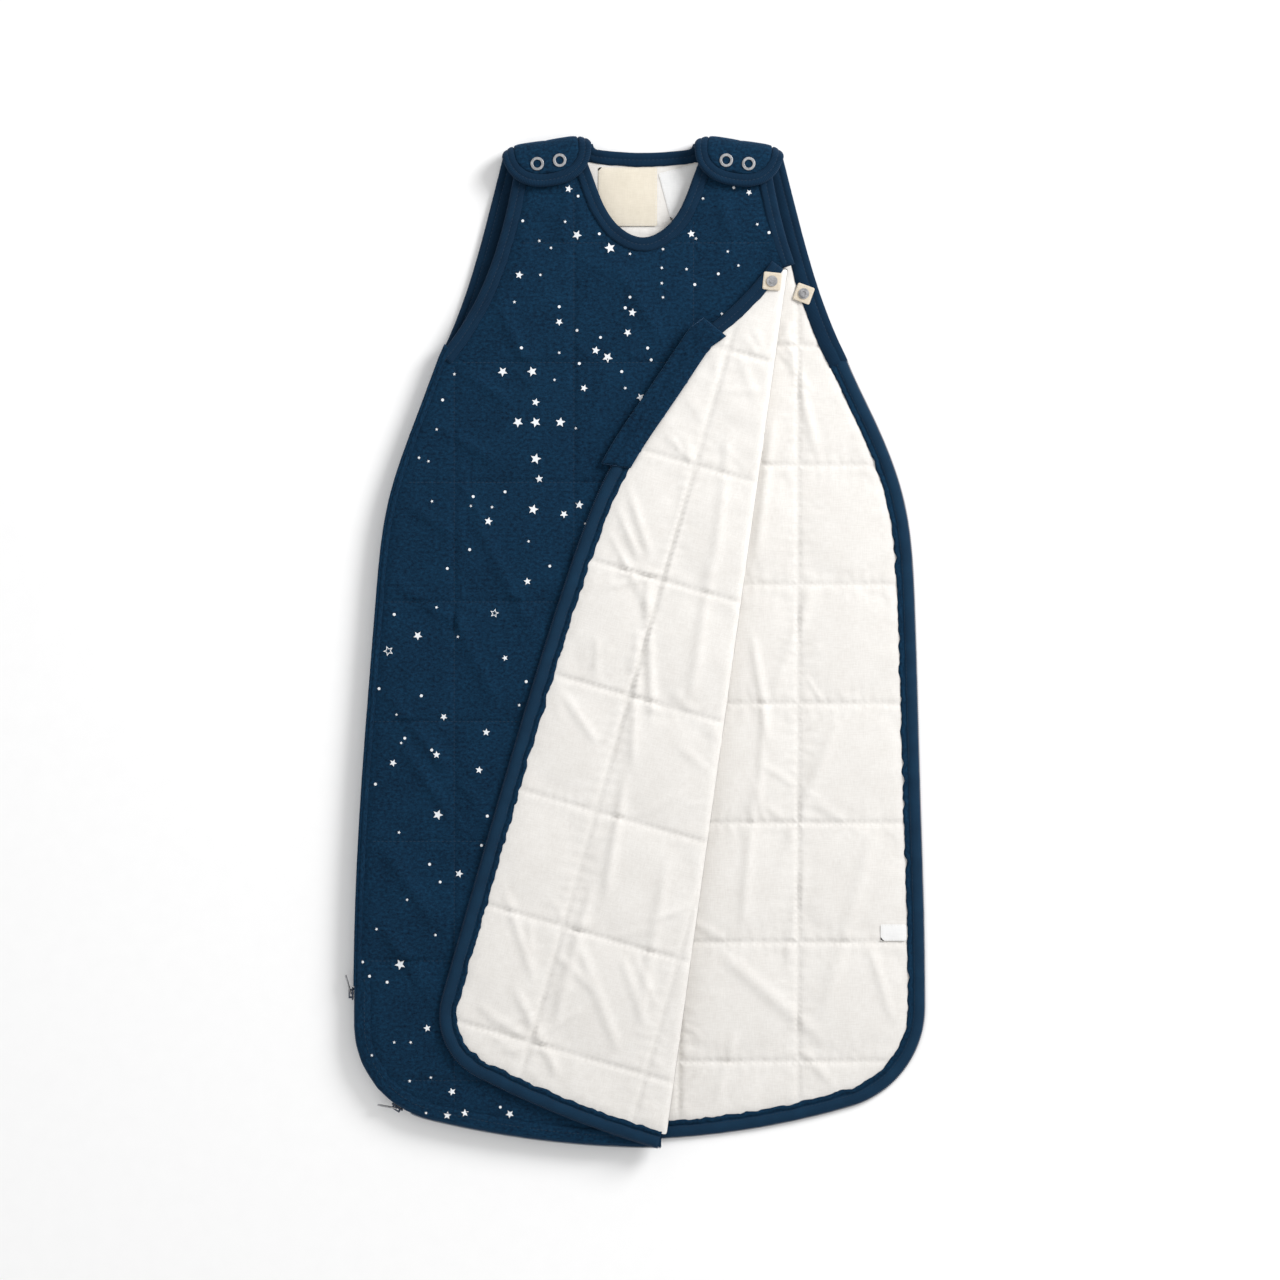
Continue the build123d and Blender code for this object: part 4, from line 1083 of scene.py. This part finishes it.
# ---- shoulder straps -----------------------------------------------------------------------------
SHOULDER_Z = Vector(JOINTS["right_tab_fold"]["pos_m"]).z  # height of the fold's axis, its outer radius too
STRAP_MID = (SHOULDER_Z + SHOULDER_Z - PANEL) / 2  # radius of the strap's middle layer round the shoulder
TURN = STRAP_MID * math.pi  # length of the strap's middle layer that goes round the shoulder
STRAP_BACK = -11 * MM  # where the strap starts, down the back from the shoulder
SHOULDER_ROUND = 6 * MM  # how far a strap's top corners are drawn in
STRAP_HALF = 29 * MM  # half width of the strap's inner panel
STRAP_TIP = TURN + 18.7 * MM
SNAP_AT = [np.array((u, TURN + 8 * MM)) for u in (-9.6 * MM, 9.6 * MM)]


def strap_frame(sign):
    """The middle of a shoulder, with unit vectors across the strap and down it."""
    joint = JOINTS["right_tab_fold" if sign > 0 else "left_tab_fold"]
    axis = Vector(joint["axis"])
    across = np.array(axis)[:2] * (1 if axis.x > 0 else -1)
    down = np.array((across[1], -across[0]))
    return np.array(joint["pos_m"])[:2], across, down


def over_shoulder(sign):
    """A function that bends flat strap points (across, along, depth below the shell) over a shoulder."""
    at, across, down = strap_frame(sign)

    def place(points):
        along, radius = points[:, 1], SHOULDER_Z - points[:, 2]
        angle = np.clip(along / STRAP_MID, 0, math.pi)
        past = np.maximum(along - TURN, 0) - np.minimum(along, 0)
        to_corner = np.clip((np.abs(points[:, 0]) - STRAP_HALF + 8 * MM) / (17 * MM), 0, 1)
        reach = (SHOULDER_ROUND * to_corner ** 2 - radius) * np.sin(angle) + past
        height = SHOULDER_Z - radius * np.cos(angle)
        return np.column_stack([at + points[:, :1] * across + reach[:, None] * down, height])
    return place


def strap_outline():
    """The strap's inner panel, flat: up the back, round the shoulder and down to its half-round end."""
    round_from = TURN - 7 * MM
    tip = []
    for angle in np.linspace(0, math.pi, 31):
        c, s = math.cos(angle), math.sin(angle)
        across = STRAP_HALF * math.copysign(abs(c) ** 0.8, c)
        tip.append((across, round_from + (STRAP_TIP - round_from) * s ** 0.8))
    return np.array([(-STRAP_HALF, STRAP_BACK), (STRAP_HALF, STRAP_BACK), *tip])


def two_faced(name, loop, step, top, bottom, place, looks, round_edge=2.0 * MM):
    """A closed, pillow-like piece: top(points) and bottom(points) give its two faces' heights."""
    points, faces = triangulated(loop, step)
    border = even_outline(loop, step)
    share = np.clip(distance_to(points, border) / round_edge, 0, 1)
    share = np.sqrt(1 - (1 - share) ** 2)
    high, low = top(points), bottom(points)
    middle = (high + low) / 2
    high, low = middle + (high - middle) * share, middle + (low - middle) * share
    upper = np.column_stack([points, high])
    inner = np.arange(len(border), len(points))
    lower_index = np.arange(len(points))
    lower_index[inner] = len(points) + np.arange(len(inner))
    lower = np.column_stack([points[inner], low[inner]])
    both = np.vstack([upper, lower])
    all_faces = faces + [[int(lower_index[i]) for i in reversed(f)] for f in faces]
    piece = new_piece(name, place(both), all_faces, looks[0], np.vstack([points, points[inner]]))
    piece.data.materials.append(LOOKS[looks[1]])
    piece.data.polygons.foreach_set("material_index", [0] * len(faces) + [1] * len(faces))
    outwards(piece)
    return piece


def strap_top(points):
    """The strap's outer face: a soft pillow, pressed in round the snaps."""
    swell = 1.1 * MM * formula_puff(points, STRAP_LOOP, (0, TURN + 60 * MM), 1.0)[:, 2]
    away = np.min([np.linalg.norm(points - at, axis=1) for at in SNAP_AT], axis=0)
    pressed = np.clip(1 - (away - 5.0 * MM) / (7 * MM), 0, 1)
    return -(swell * (1 - pressed) - 0.15 * MM * pressed) + 0.35 * MM * (1 - pressed)


def strap_bottom(points):
    return np.full(len(points), PANEL - 0.6 * MM)


STRAP_LOOP = strap_outline()
STRAP_BINDING = [
    (-1.4, 3.0), (-1.2, 0.7), (-0.2, 0.0), (1.2, -0.35), (2.8, -0.3), (3.8, 0.0), (4.3, 0.35), (4.8, 0.0),
    (6.0, -0.3), (7.4, -0.2), (8.6, 0.5), (9.2, 1.8), (9.3, 3.0), (9.1, 4.4), (8.4, 5.5), (7.2, 6.0),
    (5.0, 6.0), (3.0, 6.0), (0.5, 6.0), (-1.0, 5.2),
]


def strap(side, sign):
    """One shoulder strap: its pad, its binding and its topstitches. sign is +1 for the right one."""
    place = over_shoulder(sign)
    pad = two_faced(f"{side}_strap_pad", STRAP_LOOP, 2.2 * MM, strap_top, strap_bottom, place,
                    ("navy", "white"))
    start = np.argmax((STRAP_LOOP[:, 1] < STRAP_BACK + 0.01 * MM) & (STRAP_LOOP[:, 0] > 0))
    run = smoothed(evenly(np.roll(STRAP_LOOP, -start, 0), 1.6 * MM), 6)
    edge = band(f"{side}_strap_rib", "rib", run, steady(STRAP_BINDING), place, ripple=0.18, seed=70 + sign)
    row = row_on_band(run, 4.3, 0.2, place)
    thread = stitch_mesh(f"{side}_strap_topstitch", [row], "navy_thread")
    nodes = {
        pad: ("tab_shell", "tab_filling", "tab_lining"),
        edge: ("tab_binding", "shoulder_fold"),
        thread: (),
    }
    for piece, names in nodes.items():
        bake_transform(piece)
        if names:
            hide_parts(*[f"{side}_{n}" for n in names])


strap("right", 1)
strap("left", -1)


# ---- zip guard, tapes and labels -----------------------------------------------------------------
def resting(surface, points, spread=5 * MM, above=0.5 * MM, floor=0.0):
    """Heights that lie on a surface: the highest of it near each point, then smoothed by distance."""
    ring = [np.array((math.cos(a), math.sin(a))) * spread for a in np.linspace(0, 2 * math.pi, 7)[:-1]]
    heights = []
    for point in points:
        found = []
        for shift in [np.zeros(2)] + ring:
            hit = surface.ray_cast(Vector((*(point + shift), 0.1)), -UP)[0]
            found.append(hit.z if hit else floor)
        heights.append(0.5 * max(found) + 0.5 * sum(found) / len(found))
    return np.maximum(np.array(heights), floor) + above


on_back = surface_of(back_lining)
on_flap_lining = surface_of(flap_lining)


def patch(name, node, look, surface, thick, body, slot, curl=0.0, floor=0.0, step=2.0 * MM):
    """A label or tape that lies on the cloth below it, with its sides turned a little."""
    loop = outline_of(node)
    centre = loop.mean(0)

    def bottom(points):
        lie = resting(surface, points, above=0.12 * MM, floor=floor)
        far = np.linalg.norm(points - centre, axis=1) / np.linalg.norm(loop - centre, axis=1).max()
        return lie + curl * MM * far ** 3 + 0.15 * MM * waves(points, 9 * MM, len(name), octaves=2)

    def top(points):
        edge = distance_to(points, loop)
        hem = 0.15 * MM * np.clip(1 - np.abs(edge - 2.2 * MM) / (1.2 * MM), 0, 1)
        return bottom(points) + thick - hem

    piece = two_faced(name, loop, step, top, bottom, as_they_are, (look, look), 0.5 * MM)
    piece.data.set_sharp_from_angle(angle=math.radians(40))
    settle(piece, body, slot, node)
    inner = evenly(np.vstack([loop, loop[:1]]), 1.5 * MM)
    inner = centre + (inner - centre) * (1 - 1.2 * MM / np.abs(loop - centre).max())
    row = np.column_stack([inner, top(inner) + 0.05 * MM])
    thread = stitch_mesh(f"{name}_stitches", [row], "white_thread", 1.7 * MM, 0.9 * MM, 0.3 * MM, 0.06 * MM)
    settle(thread, body, slot)
    return piece, loop


for name, node, look, slot in (
    ("brand_free_label", "neck_label", "cream", "cream_label"),
    ("washing_label", "care_label", "satin", "white_label"),
    ("side_seam_label", "side_label", "satin", "white_label"),
):
    piece, loop = patch(name, node, look, on_back, 0.35 * MM, "root", slot, curl=0.25)
    declare_sheet(piece, loop, "laid")

for side, surface, floor in (("back", on_back, 6.0 * MM), ("flap", on_flap_lining, 24.4 * MM)):
    tab = f"{side}_underarm_tab"
    patch(f"{side}_tape_tab", tab, "twill", surface, 0.9 * MM, tab, "beige_twill", floor=floor, step=1.2 * MM)

GUARD = outline_of("zip_guard")
GUARD_MID = GUARD.mean(0)
GUARD_ALONG, GUARD_ACROSS = np.linalg.svd(GUARD - GUARD_MID)[2]  # unit vectors along and across the strip
GUARD_ACROSS *= math.copysign(1, GUARD_ACROSS[0])


def guard_top(points):
    """A fold along the strip, gentle on its left and steep on its right, with smaller folds and crumples."""
    edge = distance_to(points, GUARD)
    across, along = (points - GUARD_MID) @ GUARD_ACROSS, (points - GUARD_MID) @ GUARD_ALONG
    drift = 1.6 * MM * waves(np.column_stack([along, along]), 50 * MM, 8, octaves=2)
    past = across - 2.5 * MM + drift
    fold = 2.8 * np.exp(-(past / np.where(past < 0, 5.0 * MM, 0.9 * MM)) ** 2)
    small = 1.3 * np.exp(-((across + 7.5 * MM - drift) / (1.2 * MM)) ** 2)
    crumples = waves(np.column_stack([1.6 * across, 1.2 * along + across]), 18 * MM, 4)
    swell = np.clip(edge / (3 * MM), 0, 1)
    return guard_bottom(points) + (1.1 + swell * (0.3 + fold + small + 0.9 * crumples)) * MM


def guard_bottom(points):
    return resting(on_flap_lining, points, above=0.1 * MM, floor=24.9 * MM)


guard = two_faced("zip_guard_cloth", GUARD, 1.1 * MM, guard_top, guard_bottom, as_they_are, ("navy", "navy"),
                  1.2 * MM)
settle(guard, "front_flap", "navy_knit", "zip_guard")
declare_sheet(guard, GUARD, "folded", slanting=True)

# ---- the print: small stars and dots -------------------------------------------------------------
BIG, MIDDLE, SMALL, DOT = 4.3, 3.4, 2.5, 1.35  # radii in mm
PRINT_LIFT = 0.17 * MM  # how far the print lies off the cloth
FRONT_PRINT = {  # places in mm
    BIG: [
        (-56, 345), (-28, 334), (-126, 299), (-30, 241), (-119, 229), (-94, 229), (-106, 186), (-91, 186),
        (-70, 186), (-91, 155), (-93, 112), (-174, -147), (-206, -274), (-191, 5),
    ],
    MIDDLE: [
        (41, 346), (-63, 384), (-105, 311), (-71, 271), (-9, 279), (-13, 262), (-40, 247), (-50, 215),
        (-2, 207), (-91, 203), (-88, 138), (-54, 116), (-67, 108), (-131, 102), (-98, 51), (-169, -64),
        (-133, -77), (-175, -96), (-212, -103), (-139, -109), (-156, -197), (-183, -328), (-162, -382),
        (-166, -402), (-151, -400), (-113, -401),
    ],
    SMALL: [(-128, 316), (-117, -14), (90, 381)],
    DOT: [
        (-55, 378), (-116, 358), (-118, 354), (-102, 357), (-66, 356), (-37, 346), (-88, 340), (-78, 334),
        (-11, 329), (17, 333), (45, 342), (-87, 311), (-134, 287), (-109, 288), (-71, 284), (-56, 264),
        (-36, 258), (-11, 292), (-15, 283), (16, 317), (16, 304), (17, 292), (37, 316), (44, 303),
        (64, 312), (72, 331), (81, 319), (67, 278), (97, 354), (107, 347), (77, 385), (110, 387),
        (51, 376), (-103, 249), (-71, 245), (-54, 236), (-75, 222), (-18, 229), (4, 249), (7, 239),
        (-15, 215), (-160, 227), (-170, 205), (-57, 181), (-175, 180), (-190, 156), (-182, 153),
        (-117, 127), (-144, 123), (-146, 115), (-128, 114), (-179, 119), (-49, 100), (-97, 85), (-147, 78),
        (-215, 91), (-166, 62), (-79, 64), (-175, 29), (-211, 23), (-157, 4), (-224, -40), (-188, -46),
        (-99, -34), (-105, -54), (-209, -62), (-202, -82), (-205, -86), (-179, -92), (-227, -121),
        (-207, -162), (-132, -148), (-137, -173), (-181, -189), (-172, -204), (-200, -219), (-226, -244),
        (-176, -249), (-238, -272), (-232, -284), (-217, -289), (-211, -340), (-197, -340), (-158, -349),
        (-230, -351), (-198, -373), (-180, -370), (-121, -395), (-184, -400),
    ],
}
OUTLINED_STARS = [(-126, 24), (-216, -8)]


def star_points(radius, turn):
    """A star's centre and its outline, flat. A dot is a star with no arms."""
    if radius <= DOT:
        turns = np.linspace(0, 2 * math.pi, 9)[:-1]
        return [(0, 0)] + [(radius * math.cos(a), radius * math.sin(a)) for a in turns]
    outline = [(0, 0)]
    for i in range(10):
        reach = radius if i % 2 == 0 else 0.45 * radius
        angle = turn + math.pi * i / 5
        outline.append((reach * math.cos(angle), reach * math.sin(angle)))
    return outline


def print_on(name, surface, spots, body, slot, from_above=True):
    """Prints stars on a surface: thin shapes that follow it, just off it."""
    points, faces, flat = [], [], []
    sight = -UP if from_above else UP
    for x, y, radius in spots:
        turn = random.uniform(0, 2 * math.pi)
        shape = star_points(radius * random.uniform(0.9, 1.1), turn)
        placed = []
        for u, v in shape:
            spot = Vector(((x + u) * MM, (y + v) * MM, 0.1 if from_above else -0.1))
            hit, normal = surface.ray_cast(spot, sight)[:2]
            if hit is None:
                break
            placed.append(hit - sight * PRINT_LIFT)
        if len(placed) < len(shape):
            continue
        first = len(points)
        count = len(shape) - 1
        points += [tuple(p) for p in placed]
        if (x, y) in OUTLINED_STARS and from_above:
            points += [tuple(placed[0].lerp(p, 0.66)) for p in placed[1:]]
            faces += [(first + 1 + i, first + 1 + (i + 1) % count, first + 1 + count + (i + 1) % count,
                       first + 1 + count + i) for i in range(count)]
            continue
        faces += [(first, first + 1 + i, first + 1 + (i + 1) % count)[::1 if from_above else -1]
                  for i in range(count)]
    settle(new_piece(name, points, faces, "print", np.array(points)[:, :2]), body, slot)


MOST_TRIES = 9000


def scatter(loop, spacing):
    """Random spots for the print, no two of them near each other."""
    low, high = loop.min(0), loop.max(0)
    spots, tries = [], 0
    wanted = abs(signed_area(loop)) / (spacing * MM) ** 2
    while len(spots) < wanted and tries < MOST_TRIES:
        tries += 1
        x, y = random.uniform(low[0], high[0]) / MM, random.uniform(low[1], high[1]) / MM
        clear = all(abs(x - s[0]) + abs(y - s[1]) > 0.6 * spacing for s in spots)
        if clear and inside(np.array([(x, y)]) * MM, loop)[0]:
            spots.append((x, y, random.choice((BIG, MIDDLE, MIDDLE, SMALL, DOT, DOT, DOT, DOT, DOT))))
    return spots


front_spots = [(x, y, radius) for radius, spots in FRONT_PRINT.items() for x, y in spots]
front_spots += [(x, y, BIG) for x, y in OUTLINED_STARS]
front_spots += [s for s in scatter(MAIN, 28) if inside(np.array([s[:2]]) * MM, FLAP_OPEN)[0]]
print_on("front_print", surface_of(front_shell, front_tape), front_spots, "root", "white_lining")
print_on("back_print", surface_of(back_shell), scatter(BACK, 28), "root", "white_lining", from_above=False)
print_on("flap_print", surface_of(flap_shell), scatter(FLAP_OPEN, 28), "front_flap", "white_lining",
         from_above=False)

# ---- CAD nodes that stay -------------------------------------------------------------------------
KEPT = {
    "nickel": ["left_snap_caps", "right_snap_caps", "left_snap_sockets", "right_snap_sockets",
               "left_snap_studs", "right_snap_studs", "left_snap_backs", "right_snap_backs",
               "back_underarm_socket", "flap_underarm_stud", "end_slider_pull", "opening_slider_pull",
               "back_zip_top_stop", "flap_zip_top_stop", "zip_end_stop"],
    "slider": ["end_slider", "opening_slider"],
}
for look, names in KEPT.items():
    for name in names:
        node = frame["nodes"][name]
        if not node.material_slots:
            node.data.materials.append(LOOKS[look])
        for place_in in node.material_slots:
            place_in.material = LOOKS[look]

# ---- floor, light and camera ---------------------------------------------------------------------
def stage_floor():
    bpy.ops.mesh.primitive_plane_add(size=40, location=(0, 0, cad_box[0].z - 0.3 * MM))
    floor = bpy.context.object
    floor.name = "floor"
    shader = Shader("floor_paper", 0.9)
    grain = shader.noise(shader.place(use_uv=False), 60.0, 3.0)
    floor.data.materials.append(shader.finish(shader.between(grain, (0.93, 0.93, 0.93), (0.96, 0.96, 0.96))))


def area_light(name, size, watts, at, towards):
    data = bpy.data.lights.new(name, "AREA")
    data.shape = "DISK"
    data.size = size
    data.energy = watts
    lamp = new_object(name, data)
    lamp.location = at
    lamp.rotation_euler = (Vector(towards) - Vector(at)).to_track_quat("-Z", "Y").to_euler()


stage_floor()
area_light("window", 1.1, 47, (1.5, 1.2, 1.35), (0, 0, 0))
area_light("fill", 2.0, 6, (-1.8, -0.8, 2.0), (0, 0, 0))
world = bpy.data.worlds.new("studio")
world.use_nodes = True
world.node_tree.nodes["Background"].inputs["Color"].default_value = (1, 1, 1, 1)
world.node_tree.nodes["Background"].inputs["Strength"].default_value = 0.68
bpy.context.scene.world = world
bpy.context.scene.view_settings.view_transform = "Standard"

VIEW_WIDTH = 1.088  # how much of the floor the camera sees across
CAMERA_HEIGHT = 3.0
SENSOR = 36.0
camera_data = bpy.data.cameras.new("camera")
camera_data.sensor_width = SENSOR
camera_data.lens = SENSOR * CAMERA_HEIGHT / VIEW_WIDTH
camera = new_object("camera", camera_data)
camera.location = (-2.5 * MM, 1.3 * MM, CAMERA_HEIGHT + 12 * MM)
bpy.context.scene.camera = camera

for piece, loop, held in (
    (back_lining, BACK, "laid"),
    (back_shell, BACK, "laid"),
    (front_lining, MAIN_WIDE, "laid"),
    (front_shell, MAIN_WIDE, "laid"),
    (flap_lining, FLAP_WIDE, "folded"),
    (flap_shell, FLAP_WIDE, "folded"),
):
    declare_sheet(piece, loop, held)
